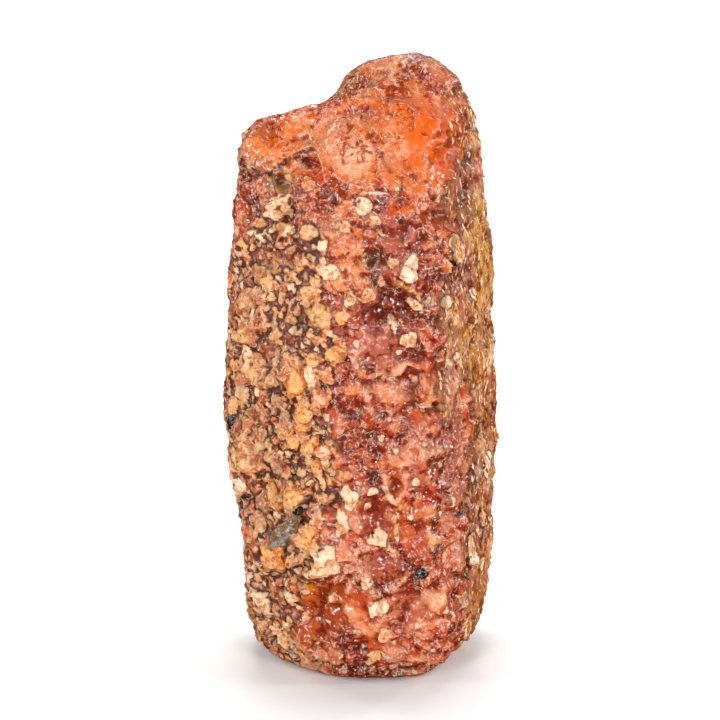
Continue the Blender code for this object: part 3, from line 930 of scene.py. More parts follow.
        # Smooth waves only: finer ones would blur every glint
        rise = self.summed(
            tree, 0.0, (
                (wave, 1.0), (ripple, 0.45), (facet, 0.50), (chip, 0.26), (creases[0], 0.2), (creases[1], 0.2),
                (creases[4], 0.35), (creases[5], 0.3),
            )
        )
        rise = self.product(tree, rise, self.steps(tree, ((busy, 0.0, 1.0, 0.35, 1.0),))[0])
        rise = self.summed(tree, rise, ((inside, 0.25), (gap, -0.3), (chinks, -0.3)))
        bump = add_node(
            tree, "ShaderNodeBump", {}, {"Strength": 1.0, "Distance": self.bump_mm * MM, "Height": rise}
        ).outputs[0]
        rough = add_node(
            tree, "ShaderNodeMapRange", {},
            {"Value": glassy, "To Min": self.matrix_roughness, "To Max": self.roughness},
        ).outputs[0]
        shader = add_node(
            tree, "ShaderNodeBsdfPrincipled", {},
            {
                "Base Color": colour, "Roughness": rough, "IOR": self.ior, "Normal": bump,
                "Subsurface Weight": 0.18, "Subsurface Radius": (1.0, 0.35, 0.2), "Subsurface Scale": 0.25 * MM,
                "Coat Weight": 0.35, "Coat Roughness": 0.06, "Coat IOR": 1.5, "Coat Normal": bump,
            },
        )
        add_node(tree, "ShaderNodeOutputMaterial", {}, {"Surface": shader.outputs[0]})
        return material


@dataclass(frozen=True)
class GrainFinish:
    """A mineral in grains: each has a colour of its own, paler further out and darker where it meets the stone.
    """

    name: str
    roughness: float
    ior: float
    inner_tint: Tint
    speck: Tint
    speck_share: float
    texture_mm: float
    bump_mm: float
    through: float = 0.1
    palest: str = "#FFF3E2"

    def material(self) -> bpy.types.Material:
        """Makes the material.

        Returns:
            A material that reads each grain's tint and how far a point stands out of the skin.
        """
        material = bpy.data.materials.new(self.name)
        material.use_nodes = True
        tree = material.node_tree
        tree.nodes.clear()
        place = add_node(tree, "ShaderNodeTexCoord").outputs["Object"]
        tint = add_node(tree, "ShaderNodeAttribute", {"attribute_name": "tint"}).outputs["Color"]
        exposed = add_node(tree, "ShaderNodeAttribute", {"attribute_name": "exposed"}).outputs["Fac"]
        mottle, dots = (
            add_node(
                tree, "ShaderNodeTexNoise", {},
                {
                    "Vector": place, "Scale": scale / (self.texture_mm * MM), "Detail": detail,
                    "Roughness": rough, "Distortion": bend,
                },
            ).outputs["Fac"]
            for scale, detail, rough, bend in ((1.0, 5.0, 0.65, 0.8), (1.3, 2.0, 0.5, 0.0))
        )
        level = add_node(
            tree, "ShaderNodeMath", {"operation": "MULTIPLY_ADD"}, {0: exposed, 1: 0.16, 2: mottle}
        ).outputs[0]
        clean, pale, spotted = (
            add_node(
                tree, "ShaderNodeMapRange", {"interpolation_type": "SMOOTHSTEP"},
                {"Value": value, "From Min": start, "From Max": end, "To Max": most},
            ).outputs[0]
            for value, start, end, most in (
                (level, 0.44, 0.66, 1.0), (mottle, 0.54, 0.70, 0.5), (dots, 0.40, 0.33, self.speck_share),
            )
        )
        colour = add_node(
            tree, "ShaderNodeMix", {"data_type": "RGBA", "blend_type": "MULTIPLY"},
            {0: 1.0, 6: tint, 7: linear(self.inner_tint.value)},
        ).outputs[2]
        layers = ((clean, tint), (pale, linear(self.palest)), (spotted, linear(self.speck.value)))
        for share, layer in layers:
            colour = add_node(
                tree, "ShaderNodeMix", {"data_type": "RGBA"}, {0: share, 6: colour, 7: layer}
            ).outputs[2]
        bump = add_node(
            tree, "ShaderNodeBump", {}, {"Strength": 0.8, "Distance": self.bump_mm * MM, "Height": mottle}
        ).outputs[0]
        shader = add_node(
            tree, "ShaderNodeBsdfPrincipled", {},
            {
                "Base Color": colour, "Roughness": self.roughness, "IOR": self.ior, "Normal": bump,
                "Subsurface Weight": self.through, "Subsurface Radius": (1.0, 0.7, 0.45),
                "Subsurface Scale": 0.25 * MM,
            },
        )
        add_node(tree, "ShaderNodeOutputMaterial", {}, {"Surface": shader.outputs[0]})
        return material


# Weathered feldspar and rock: dull and sandy, darker where it meets the stone
PEBBLE = GrainFinish("weathered_matrix", 0.34, 1.54, Tint.SAND, Tint.DARK_BROWN, 0.6, 0.30, 0.14)
# Iron-stained crust: thin ochre flakes with a silky shine
CRUST = GrainFinish("limonite_crust", 0.26, 1.60, Tint.SAND, Tint.BROWN, 0.35, 0.20, 0.05)
# Black mica: dark plates that flash where they face a lamp
MICA = GrainFinish("biotite_mica", 0.22, 1.58, Tint.DARK_BROWN, Tint.BLACK, 0.60, 0.25, 0.04, 0.0)
# Clear quartz: pale, wet-looking points of light; their pale colour is partly painted glint
GLINT = GrainFinish("clear_quartz_grit", 0.12, 1.55, Tint.SALMON, Tint.APRICOT, 0.10, 0.30, 0.02, 0.3)


@dataclass
class RubyBody:
    """The ruby itself: one skin with its broken faces, hollows, ribs and colours."""

    skin: Skin
    finish: RubyFinish = field(default_factory=RubyFinish)
    wear_rounds: int = 160
    grit: float = 0.40
    edge_relief: float = 0.26
    grit_relief: float = 0.07
    fibre_relief: float = 0.09
    fine_relief: float = 0.06
    layer_relief: float = 0.05

    MAIN_EDGE = (
        (1.4, 4.7), (4.7, 4.8), (9.5, 4.6), (13.7, 4.8), (17.9, 5.0), (20.6, 4.9), (24.2, 5.2), (25.6, 4.9),
        (26.9, 5.3), (29.0, 5.4), (31.0, 5.8), (32.0, 6.2), (33.2, 5.9), (35.0, 6.4),
    )

    PATCHES = (
        # The dome and the slanted top face
        Patch(4.2, 36.4, 4.4, 2.4, 0, Tint.MAUVE, 0.5),
        Patch(6.3, 35.2, 1.2, 2.6, 15, Tint.RED_BROWN, 0.6),
        Patch(-0.8, 35.8, 1.5, 2.4, -35, Tint.UMBER, 0.95),
        Patch(1.6, 37.2, 2.2, 0.8, 12, Tint.APRICOT, 0.8),
        Patch(0.4, 35.8, 0.9, 1.6, -25, Tint.PALE_ROSE, 0.7),
        Patch(2.4, 35.4, 3.4, 1.4, 0, Tint.SALMON, 0.6),
        Patch(1.4, 35.7, 1.0, 0.9, 0, Tint.EMBER, 0.85),
        Patch(4.4, 34.4, 4.6, 1.5, 5, Tint.ORANGE, 0.8),
        Patch(1.5, 34.8, 2.8, 1.3, 0, Tint.ORANGE, 0.6),
        Patch(0.1, 34.0, 2.0, 0.9, 0, Tint.PURPLE, 0.75),
        Patch(-2.6, 33.9, 4.4, 1.3, 24, Tint.ORANGE, 0.7),
        Patch(-3.9, 33.3, 1.6, 0.8, 24, Tint.APRICOT, 0.6),
        Patch(-5.4, 32.8, 1.3, 1.7, 0, Tint.RED_BROWN, 0.7),
        Patch(-6.6, 33.0, 0.9, 1.1, 0, Tint.MAUVE, 0.8),
        Patch(-4.6, 32.3, 1.8, 1.2, 0, Tint.ORANGE, 0.6),
        Patch(-1.2, 32.6, 4.6, 3.0, 20, Tint.PALE_ROSE, 0.5),
        Patch(-1.6, 31.0, 2.4, 1.6, 0, Tint.SALMON, 0.5),
        Patch(-0.4, 31.2, 2.8, 1.7, 30, Tint.BLUSH, 0.5),
        Patch(0.3, 31.6, 0.6, 1.3, 10, Tint.CREAM, 0.4),
        Patch(1.9, 31.6, 2.0, 2.4, 0, Tint.PALE_ROSE, 0.6),
        Patch(2.9, 32.4, 2.2, 3.2, 0, Tint.ORANGE, 0.55),
        Patch(4.6, 32.4, 3.0, 5.0, 0, Tint.ORANGE, 0.8),
        Patch(4.1, 31.1, 0.9, 0.6, 0, Tint.EMBER, 0.9),
        Patch(1.6, 30.2, 3.0, 1.2, -20, Tint.SALMON, 0.6),
        Patch(3.8, 29.7, 3.2, 2.0, 0, Tint.SALMON, 0.7),
        Patch(-0.7, 29.0, 1.7, 0.6, -18, Tint.RUST, 0.9),
        Patch(1.2, 28.7, 1.1, 2.0, 0, Tint.PURPLE, 0.8),
        Patch(4.5, 27.8, 2.6, 1.3, 0, Tint.DEEP_RED, 0.75),
        Patch(4.6, 27.2, 1.4, 0.7, 0, Tint.EMBER, 0.8),
        # The groove and the rim behind the top's right edge: the groove's honey and dark brown are partly
        # painted shade
        Patch(6.5, 32.4, 0.9, 3.6, -10, Tint.HONEY, 0.9),
        Patch(6.7, 31.2, 0.8, 1.6, -10, Tint.DARK_BROWN, 0.6),
        Patch(7.3, 32.0, 0.6, 4.0, -6, Tint.CORAL, 0.7),
        # The left shoulder and the hollow under it
        Patch(-3.3, 31.1, 0.9, 0.9, 0, Tint.DEEP_RED, 0.9),
        Patch(-2.5, 30.5, 1.8, 1.2, -20, Tint.EMBER, 0.95),
        Patch(-4.8, 29.8, 1.7, 1.4, 0, Tint.OLIVE, 0.8),
        Patch(-6.9, 30.6, 1.0, 2.2, 0, Tint.RED_BROWN, 0.7),
        Patch(-5.8, 31.0, 1.2, 1.0, 0, Tint.BROWN, 0.6),
        Patch(-7.2, 27.2, 0.9, 2.8, 0, Tint.CORAL, 0.7),
        Patch(-4.3, 28.0, 2.4, 1.5, 0, Tint.RUST, 0.85),
        Patch(-6.0, 28.2, 1.5, 2.0, 0, Tint.BROWN, 0.6),
        Patch(-3.8, 26.0, 3.6, 2.2, 0, Tint.UMBER, 0.6),
        # Partly painted shade: this darker rust patch lies where shade falls below the shoulder
        Patch(-5.8, 26.4, 2.0, 1.2, 0, Tint.RUST, 0.7),
        Patch(-2.2, 28.0, 1.6, 2.6, 0, Tint.RED, 0.6),
        # The middle of the front
        Patch(-1.0, 26.8, 3.2, 1.8, 0, Tint.SALMON, 0.6),
        Patch(2.4, 26.6, 2.6, 2.2, 0, Tint.MAUVE, 0.85),
        Patch(3.3, 26.0, 2.2, 0.6, 18, Tint.DEEP_RED, 0.8),
        Patch(4.5, 26.3, 1.4, 1.1, 0, Tint.SALMON, 0.8),
        Patch(0.4, 25.1, 1.8, 0.8, 0, Tint.OLIVE, 0.8),
        Patch(-0.6, 25.0, 1.9, 1.8, 0, Tint.APRICOT, 0.75),
        Patch(-0.4, 23.7, 2.2, 0.9, 0, Tint.APRICOT, 0.7),
        Patch(1.9, 23.8, 2.2, 1.5, 0, Tint.WINE, 0.75),
        Patch(4.0, 24.5, 1.5, 3.0, 0, Tint.WINE, 0.7),
        Patch(1.5, 22.1, 4.6, 1.4, 0, Tint.DEEP_RED, 1.0),
        Patch(3.4, 21.4, 1.6, 1.8, 0, Tint.RED, 0.7),
        Patch(1.3, 19.8, 3.4, 2.6, 8, Tint.MAUVE, 0.9),
        Patch(0.6, 21.2, 2.0, 0.9, 0, Tint.WINE, 0.7),
        Patch(1.6, 18.0, 3.2, 0.7, 4, Tint.RUST, 0.9),
        Patch(4.2, 20.3, 1.6, 0.9, -10, Tint.EMBER, 0.85),
        Patch(1.9, 17.2, 3.4, 1.1, 0, Tint.PALE_ROSE, 0.6),
        Patch(3.8, 17.2, 1.8, 3.0, 0, Tint.SALMON, 0.6),
        Patch(2.9, 16.5, 0.9, 0.8, 0, Tint.DEEP_RED, 0.9),
        Patch(2.5, 15.0, 1.2, 2.3, -12, Tint.DEEP_RED, 1.0),
        Patch(0.9, 14.5, 3.8, 2.8, 0, Tint.RED, 0.95),
        Patch(-0.3, 16.0, 1.6, 1.6, 0, Tint.ROSE, 0.6),
        Patch(3.8, 13.4, 1.8, 4.4, 0, Tint.MAUVE, 0.55),
        Patch(-1.5, 18.4, 1.0, 3.6, 0, Tint.ROSE, 0.7),
        Patch(1.0, 9.7, 2.4, 2.4, 0, Tint.RED_BROWN, 0.85),
        Patch(2.2, 11.6, 1.1, 1.4, 0, Tint.RUST, 0.85),
        Patch(3.4, 9.1, 1.6, 3.4, 0, Tint.ROSE, 0.7),
        Patch(1.4, 6.7, 2.6, 2.2, 0, Tint.MAUVE, 0.8),
        Patch(2.6, 4.6, 3.6, 2.4, 0, Tint.MAUVE, 0.6),
        Patch(-2.6, 4.1, 3.4, 4.8, -25, Tint.RUST, 0.85),
        Patch(-3.3, 5.9, 1.5, 1.9, 0, Tint.HONEY, 0.6),
        Patch(-1.4, 3.0, 2.0, 2.6, -25, Tint.RED_BROWN, 0.6),
        Patch(1.0, 3.6, 2.0, 0.9, 0, Tint.CORAL, 0.6),
        Patch(2.2, 1.2, 1.1, 0.6, 0, Tint.DEEP_RED, 0.9),
        Patch(3.3, 2.2, 3.0, 1.2, 0, Tint.RED, 0.5),
        # The left side between its pebbles
        Patch(-5.4, 16.7, 3.8, 1.8, 0, Tint.RED_BROWN, 1.0),
        Patch(-3.0, 17.0, 2.0, 3.0, 0, Tint.RUST, 0.6),
        Patch(-3.7, 21.4, 1.6, 1.4, 0, Tint.OLIVE, 0.8),
        Patch(-7.9, 15.3, 0.7, 1.3, 0, Tint.BLACK, 0.9),
        Patch(-3.9, 12.6, 1.6, 1.9, 0, Tint.DARK_BROWN, 0.6),
        Patch(-6.8, 10.8, 1.1, 1.1, 0, Tint.DARK_BROWN, 0.9),
        Patch(-6.4, 9.6, 1.4, 1.5, 0, Tint.HONEY, 0.9),
        Patch(-3.6, 6.8, 1.2, 0.8, 0, Tint.DARK_BROWN, 0.85),
        Patch(-6.2, 5.2, 2.6, 5.6, 0, Tint.HONEY, 0.6),
        Patch(-5.0, 2.6, 3.2, 1.4, -25, Tint.UMBER, 0.7),
        # The right side
        Patch(6.2, 29.9, 1.7, 2.2, 0, Tint.MAUVE_BROWN, 0.9),
        Patch(7.3, 26.9, 1.4, 4.6, 0, Tint.OCHRE, 0.9),
        Patch(6.1, 24.5, 1.4, 4.0, 0, Tint.MAUVE_BROWN, 0.8),
        Patch(7.6, 23.6, 1.4, 5.0, 0, Tint.OCHRE, 0.8),
        Patch(7.6, 20.9, 1.0, 2.6, 0, Tint.BROWN, 0.7),
        Patch(6.6, 19.4, 1.6, 3.6, 0, Tint.OCHRE, 0.6),
        Patch(5.5, 13.8, 1.3, 8.0, 0, Tint.MAUVE, 0.75),
        Patch(7.5, 15.4, 1.2, 4.4, 0, Tint.UMBER, 0.7),
        Patch(7.7, 10.7, 1.0, 3.4, 0, Tint.MAUVE_BROWN, 0.7),
        Patch(7.4, 5.4, 1.4, 4.4, -12, Tint.UMBER, 0.8),
    )

    DENTS = (
        Dent(-2.9, 30.9, 1.5, 1.0, -15, 0.45),
        Dent(-4.8, 29.8, 1.5, 1.2, 0, 0.35),
        Dent(-4.3, 32.2, 0.45, 0.45, 0, 0.14),
        Dent(-3.2, 31.7, 0.5, 0.4, 0, 0.15),
        Dent(-3.2, 28.8, 1.0, 0.5, 0, 0.25),
        Dent(-4.3, 27.9, 1.8, 1.2, 0, 0.28),
        Dent(-3.7, 21.4, 1.5, 1.3, 0, 0.35),
        Dent(0.4, 25.1, 1.6, 0.8, 0, 0.25),
        Dent(4.5, 27.8, 2.3, 1.1, 0, 0.25),
        Dent(1.4, 22.3, 4.2, 0.9, 4, 0.35),
        Dent(1.5, 18.0, 3.0, 0.6, 4, 0.28),
        Dent(4.2, 20.3, 1.4, 0.8, 0, 0.25),
        Dent(2.9, 16.5, 0.7, 0.6, 0, 0.25),
        Dent(2.5, 15.0, 0.7, 1.7, -12, 0.30),
        Dent(0.9, 14.5, 3.2, 2.2, 0, 0.20),
        Dent(2.2, 11.5, 0.9, 1.2, 0, 0.32),
        Dent(1.0, 9.7, 2.2, 2.2, 0, 0.18),
        Dent(3.4, 9.1, 1.3, 3.2, 0, 0.15),
        Dent(-6.8, 10.8, 1.0, 1.0, 0, 0.50),
        Dent(-3.6, 6.8, 1.0, 0.7, 0, 0.40),
        Dent(-4.8, 6.1, 0.5, 0.6, 0, 0.30),
        Dent(-3.2, 18.6, 0.7, 0.9, 0, 0.35),
        Dent(-2.4, 4.1, 2.6, 3.8, -25, 0.15),
        Dent(6.5, 32.2, 0.7, 3.4, -10, 0.30),
        Dent(1.2, 20.2, 2.6, 1.5, 8, -0.16),
        Dent(3.6, 31.8, 3.0, 3.0, 0, -0.12),
        Dent(-1.0, 32.2, 2.6, 2.0, 0, -0.10),
    )

    # The crest between the dome and the slanted top face is no sharp line
    WORN_ROUND = (Mark(2.0, 35.0, 8.5, 3.6),)

    SMOOTH_FACES = (
        Mark(1.0, 9.7, 2.4, 2.4), Mark(3.4, 9.1, 1.5, 3.2),
        Mark(1.4, 6.7, 2.6, 2.0), Mark(-2.6, 4.0, 2.8, 3.8, -25),
        Mark(4.4, 32.0, 3.6, 4.8), Mark(2.2, 11.5, 1.1, 1.4),
        Mark(1.2, 20.0, 2.8, 2.0, 8), Mark(2.4, 26.5, 2.2, 1.8),
        Mark(3.9, 15.4, 1.4, 1.6), Mark(4.5, 27.9, 2.4, 1.3),
        Mark(1.5, 22.2, 4.0, 1.1), Mark(2.9, 4.5, 2.6, 1.9),
        Mark(0.2, 4.4, 1.7, 1.6), Mark(3.9, 12.0, 1.4, 2.6),
        Mark(0.8, 2.5, 2.0, 1.2), Mark(4.2, 18.4, 1.2, 2.0),
    )

    RIBS = (
        Rib(((-0.5, 19.3), (-0.1, 18.5), (0.6, 18.1), (1.8, 18.2), (2.9, 18.9)), 0.20, 0.16, Tint.BLUSH),
        Rib(((1.4, 12.3), (1.6, 11.3), (2.1, 10.6), (2.7, 11.3), (2.8, 12.3)), 0.15, 0.16, Tint.BLUSH),
        Rib(((-1.3, 7.3), (-0.2, 6.9), (0.5, 7.6), (0.9, 7.9)), 0.13, 0.12, Tint.BLUSH),
        Rib(((-0.9, 5.2), (-0.4, 5.9), (0.5, 6.3), (1.0, 5.2), (2.2, 5.5), (2.9, 6.4)), 0.14, 0.12, Tint.BLUSH),
        Rib(((0.5, 7.4), (0.2, 6.6), (0.5, 6.2)), 0.12, 0.10, Tint.PALE_ROSE),
        Rib(((2.4, 10.3), (2.2, 9.4), (2.2, 8.6)), 0.16, 0.12, Tint.TAN),
        Rib(((4.1, 9.8), (4.3, 8.8), (4.4, 7.8)), 0.13, 0.10, Tint.TAN),
        Rib(((2.4, 23.8), (3.2, 23.2), (4.0, 22.5)), 0.16, 0.14, Tint.OCHRE),
        Rib(((5.0, 25.7), (5.2, 24.3), (4.9, 22.8)), 0.11, 0.08, Tint.TAN),
        Rib(((-0.2, 33.6), (0.1, 33.0), (0.4, 32.2)), 0.20, 0.05, Tint.APRICOT),
        Rib(((0.2, 29.2), (1.7, 29.0)), 0.09, 0.06, Tint.WHITE),
        Rib(((-2.5, 31.3), (-2.2, 30.6)), 0.08, 0.06, Tint.BLUSH),
        Rib(((-2.8, 27.6), (-2.2, 26.4)), 0.09, 0.08, Tint.TAN),
        Rib(((-5.0, 19.8), (-4.4, 19.5), (-3.4, 19.9), (-2.9, 20.6)), 0.20, 0.16, Tint.CREAM),
        Rib(((0.7, 32.2), (1.3, 31.2), (1.8, 30.4)), 0.12, -0.12, Tint.PURPLE),
        # The sunken line under the shoulder's ledge is dark brown, partly as painted shade
        Rib(((-6.2, 30.1), (-5.4, 30.4), (-4.2, 31.1), (-2.9, 31.8)), 0.16, -0.30, Tint.DARK_BROWN, 0.6),
        Rib(((-4.9, 8.7), (-4.4, 7.9), (-4.0, 7.3)), 0.14, -0.12, Tint.BLACK),
        # This rib and the next make the foot's brown lip: sunken, and darkened as painted shade where the stone
        # rounds under
        Rib(((-3.4, 1.3), (-0.6, 0.5), (2.2, 0.3), (4.6, 0.7)), 0.30, -0.14, Tint.DARK_BROWN, 0.7),
        Rib(((-3.0, 1.9), (-0.4, 1.0), (1.0, 0.9)), 0.14, -0.10, Tint.BROWN, 0.7),
        # This white line and the next are painted highlights on the glossy recess
        Rib(((4.1, 28.0), (4.9, 28.2)), 0.05, 0.05, Tint.WHITE),
        Rib(((4.2, 27.6), (5.0, 27.8)), 0.05, 0.05, Tint.WHITE),
    )

    def zones(self) -> dict[str, np.ndarray]:
        """Works out how much of each kind of surface a point has.

        Returns:
            Masks from nought to one: matrix on the left and in patches behind, crust on the right, the top.
        """
        skin = self.skin
        drift = fractal(skin.points, 3.0, 21.3)
        patchy = fractal(skin.points, 6.0, 5.2)
        heights, edges = zip(*self.MAIN_EDGE)
        past_edge = skin.across + 0.7 * drift - np.interp(skin.up, heights, edges)
        mauve_band = 1.5 * smoothstep(22.0, 13.0, skin.up + 2.0 * drift)
        seen_right = smoothstep(-0.1, 0.5, past_edge - mauve_band) * (skin.facing > LEAST_FACING)
        seen_right = seen_right * (skin.turn > 0)
        far_right = smoothstep(70.0, 85.0, skin.turn) * smoothstep(165.0, 120.0, skin.turn + 25 * patchy)
        crust = np.maximum(seen_right, far_right)
        top = smoothstep(0.25, 0.5, skin.normals[:, 2] + 0.1 * drift) * (skin.points[:, 2] > 26)
        border = np.interp(skin.up, (3.0, 8.0, 12.0, 24.0), (-3.6, -2.4, -1.8, -2.0))
        left = smoothstep(0.7, -0.7, skin.across - border + 1.3 * drift) * (skin.turn < 0)
        behind = (np.abs(skin.turn) > 120) * smoothstep(-0.1, 0.25, patchy)
        left = np.where(skin.turn > -135, left, behind)
        left = np.maximum(left, np.where(skin.turn > 150, behind, 0.0)) * (1 - top) * (1 - crust)
        upper = smoothstep(25.5, 28.5, skin.up) * (skin.facing > 0)
        return {"matrix": left * (1 - 0.75 * upper), "crust": crust * (1 - 0.7 * top), "top": top}

    def ramp(self, value: np.ndarray, tints: Sequence[Tint]) -> np.ndarray:
        """Turns values from -1 to 1 into colours, from the first tint to the last.

        Args:
            value: one value for each point.
            tints: the colours in order.

        Returns:
            One colour in linear light for each point.
        """
        stops = np.linspace(-0.75, 0.75, len(tints))
        lights = np.array([tint.light for tint in tints])
        return np.stack([np.interp(value, stops, channel) for channel in lights.T], axis=1)

    def hollows(self) -> np.ndarray:
        """How deep each point lies in the hollows that the front view shows, in millimetres.

        Returns:
            One depth for each point.
        """
        sunk = np.zeros(len(self.skin.points))
        for dent in self.DENTS:
            sunk += dent.depth * np.clip(1.0 - self.skin.reach(dent) ** 2, 0.0, None) ** 1.5
        return sunk

    def shape(self, zones: dict[str, np.ndarray]) -> None:
        """Breaks the skin into faces and works the hollows, ribs and grit into it.

        Args:
            zones: how much of each kind of surface a point has.
        """
        skin = self.skin
        skin.height -= self.sunk
        for place in self.WORN_ROUND:
            worn = ((skin.smoothed(skin.points, self.wear_rounds) - skin.points) * skin.normals).sum(axis=1)
            skin.height += worn * smoothstep(1.25, 0.6, skin.reach(place))
        heights, edges = zip(*self.MAIN_EDGE)
        off_edge = skin.across - np.interp(skin.up, heights, edges)
        at_edge = np.exp(-(off_edge / 0.9) ** 2) * (skin.facing > 0) * (skin.up < 30)
        skin.height += self.edge_relief * at_edge * fractal(skin.points, 1.5, 41.0, 3)
        offset, drawn, border = cells(skin.points, self.grit, 51.0)
        granular = zones["matrix"] + 0.5 * zones["crust"]
        skin.height += self.grit_relief * granular * smoothstep(0.0, 0.5, border)
        self.grit_tone = drawn[:, 2]
        ribbed = fractal(skin.points * np.array((1.0, 1.0, 0.22)), 0.5, 71.0, 3)
        skin.height += self.fibre_relief * zones["crust"] * ribbed
        skin.height += self.fine_relief * fractal(skin.points, 0.9, 81.0, 4) * (1 - 0.4 * zones["top"])
        layers = np.sin(skin.points[:, 2] * 9.0 + 2.0 * fractal(skin.points, 2.0, 91.0, 2))
        skin.height += self.layer_relief * layers * smoothstep(2.6, 1.2, skin.points[:, 2])
        for rib in self.RIBS:
            nearest = skin.line_distance(rib.places)
            skin.height += rib.rise * np.clip(1.0 - (nearest / rib.half_width / 1.5) ** 2, 0.0, None)

    def colour(self, zones: dict[str, np.ndarray]) -> None:
        """Gives each zone its mix of colours, then lays the patches and the ribs' colours over them.

        Args:
            zones: how much of each kind of surface a point has.
        """
        skin = self.skin
        broad = fractal(skin.points, 2.6, 101.0, 5)
        close = fractal(skin.points, 0.8, 111.0, 4)
        mixed = broad * 0.6 + close * 0.4
        ruby = (Tint.DEEP_RED, Tint.RED, Tint.ROSE, Tint.ROSE, Tint.SALMON, Tint.PALE_ROSE)
        skin.tint = self.ramp(mixed, ruby)
        top = self.ramp(mixed, (Tint.RED, Tint.CORAL, Tint.SALMON, Tint.SALMON, Tint.APRICOT, Tint.APRICOT))
        skin.paint(zones["top"], top)
        matrix = self.ramp(
            broad * 0.4 + close * 0.5 + self.grit_tone * 0.2,
            (Tint.RED_BROWN, Tint.RUST, Tint.RUST, Tint.UMBER, Tint.SAND, Tint.TAN),
        )
        skin.paint(zones["matrix"], matrix)
        fibres = fractal(skin.points * np.array((1.0, 1.0, 0.2)), 0.7, 121.0, 4)
        crust = self.ramp(
            broad * 0.3 + fibres * 0.7,
            (Tint.RED_BROWN, Tint.BROWN, Tint.MAUVE_BROWN, Tint.MAUVE, Tint.OCHRE, Tint.TAN, Tint.CREAM),
        )
        skin.paint(zones["crust"], crust)
        for patch in self.PATCHES:
            skin.paint(patch.share * smoothstep(1.3, 0.75, skin.reach(patch)), patch.tint.light)
        for rib in self.RIBS:
            nearest = skin.line_distance(rib.places) / rib.half_width
            kept = 0.55 + 0.45 * smoothstep(-0.3, 0.3, close)
            skin.paint(rib.share * kept * smoothstep(1.15, 0.5, nearest), rib.tint.light)

    def lay_grains(self, zones: dict[str, np.ndarray]) -> Inlays:
        """Lays grains of feldspar and weathered rock into the skin.

        Args:
            zones: how much of each kind of surface a point has.

        Returns:
            The grains' borders, tints and heights.
        """
        skin = self.skin
        inlays = Inlays(skin, 21)
        random = np.random.default_rng(22)
        sandy = (
            Tint.TAN, Tint.SAND, Tint.TAN, Tint.APRICOT, Tint.CREAM, Tint.APRICOT, Tint.PALE_ROSE, Tint.TAN,
        )
        rosy = (Tint.BLUSH, Tint.PALE_ROSE, Tint.CREAM, Tint.APRICOT)
        sizes = random.uniform(0.0, 1.0, len(skin.points)) ** 1.6
        standing = skin.points[:, 2] > 0.5
        matrix, crust = zones["matrix"], zones["crust"]
        patchy = fractal(skin.points, 2.2, 61.0)
        sparse = (matrix < 0.3) & (crust < 0.3) & (zones["top"] < 0.4) & (patchy > -0.1)
        for where, tints, least, most, spread, rise in (
            ((matrix > 0.45) & (patchy > -0.5) & (self.sunk < 0.12), sandy, 0.42, 1.35, 1.0, 0.26),
            (sparse, rosy, 0.35, 0.80, 4.2, 0.06),
        ):
            order = random.permutation(np.flatnonzero(where & standing))
            gaps = (least + (most - least) * sizes) * spread
            for index in spread_out(skin.points, order, lambda i, gaps=gaps: gaps[i]):
                wide = least + (most - least) * sizes[index]
                tint = tints[random.integers(len(tints))].light
                inlays.add(
                    index, wide, wide * random.uniform(0.7, 1.5), rise * (0.5 + 0.6 * sizes[index]),
                    random.uniform(-50, 50), tint,
                )
        inlays.add_seen(Rock.WHITES, 0.36)
        inlays.add_seen(Rock.PEBBLES, 0.40)
        return inlays

    def busy(self, zones: dict[str, np.ndarray]) -> np.ndarray:
        """How thickly worn ridges with painted highlights run over each point: few on the top, none on the
        smooth faces.

        Args:
            zones: how much of each kind of surface a point has.

        Returns:
            One share from nought to one for each point.
        """
        skin = self.skin
        busy = 0.80 - 0.28 * zones["top"] - 0.2 * zones["crust"] + 0.35 * fractal(skin.points, 2.0, 131.0)
        for face in self.SMOOTH_FACES:
            busy *= 1.0 - 0.9 * smoothstep(1.3, 0.8, skin.reach(face))
        return np.clip(busy, 0.0, 1.0)

    def build(self) -> bpy.types.Object:
        """Works the skin and makes the piece.

        Returns:
            The ruby's object, dressed, on its body.
        """
        skin = self.skin
        zones = self.zones()
        self.sunk = self.hollows()
        inlays = self.lay_grains(zones)
        self.shape(zones)
        shown = 1.0 - 0.5 * zones["crust"] - 0.72 * zones["top"] - 0.4 * zones["matrix"]
        # The outline is calm: less relief where the skin turns away from the front view
        shown = np.clip(shown, 0.0, 1.0) * (0.45 + 0.55 * smoothstep(0.1, 0.5, np.abs(skin.facing)))
        skin.height += BREAKS.heights(skin) * shown
        skin.height += inlays.lift * (0.3 + 0.7 * smoothstep(0.1, 0.55, np.abs(skin.facing)))
        rest = skin.points.copy()
        level = skin.height.copy()
        # Height over its surroundings, for painted light and shade: raised parts are made paler and sunken ones
        # darker
        skin.masks["relief"] = np.clip((level - skin.smoothed(level, 12)) / 0.08, -1.0, 1.0)
        self.colour(zones)
        skin.masks["glassy"] = np.clip(1.0 - zones["matrix"] - 0.7 * zones["crust"], 0.0, 1.0)
        skin.masks["flaky"] = zones["crust"]
        skin.masks["busy"] = self.busy(zones)
        skin.masks["edge"] = np.clip(inlays.edge, -0.5, 0.5)
        skin.masks["grain_tint"] = inlays.tint
        skin.masks["rest"] = rest
        skin.masks["matrix"] = zones["matrix"]
        skin.masks["top"] = zones["top"]
        flat = skin.normals[:, 2].copy()
        skin.raised()
        # Painted light and shade: upper sides of bumps go pale, their undersides and the hollows keep the deep
        # colour
        relief = skin.masks["relief"] + 1.6 * (skin.normals[:, 2] - flat) - 2.4 * self.sunk
        broad = fractal(skin.points, 3.4, 151.0, 2) * (1 - zones["top"])
        skin.masks["relief"] = np.clip(relief + 0.9 * broad, -1.8, 1.5)
        return self.finished()

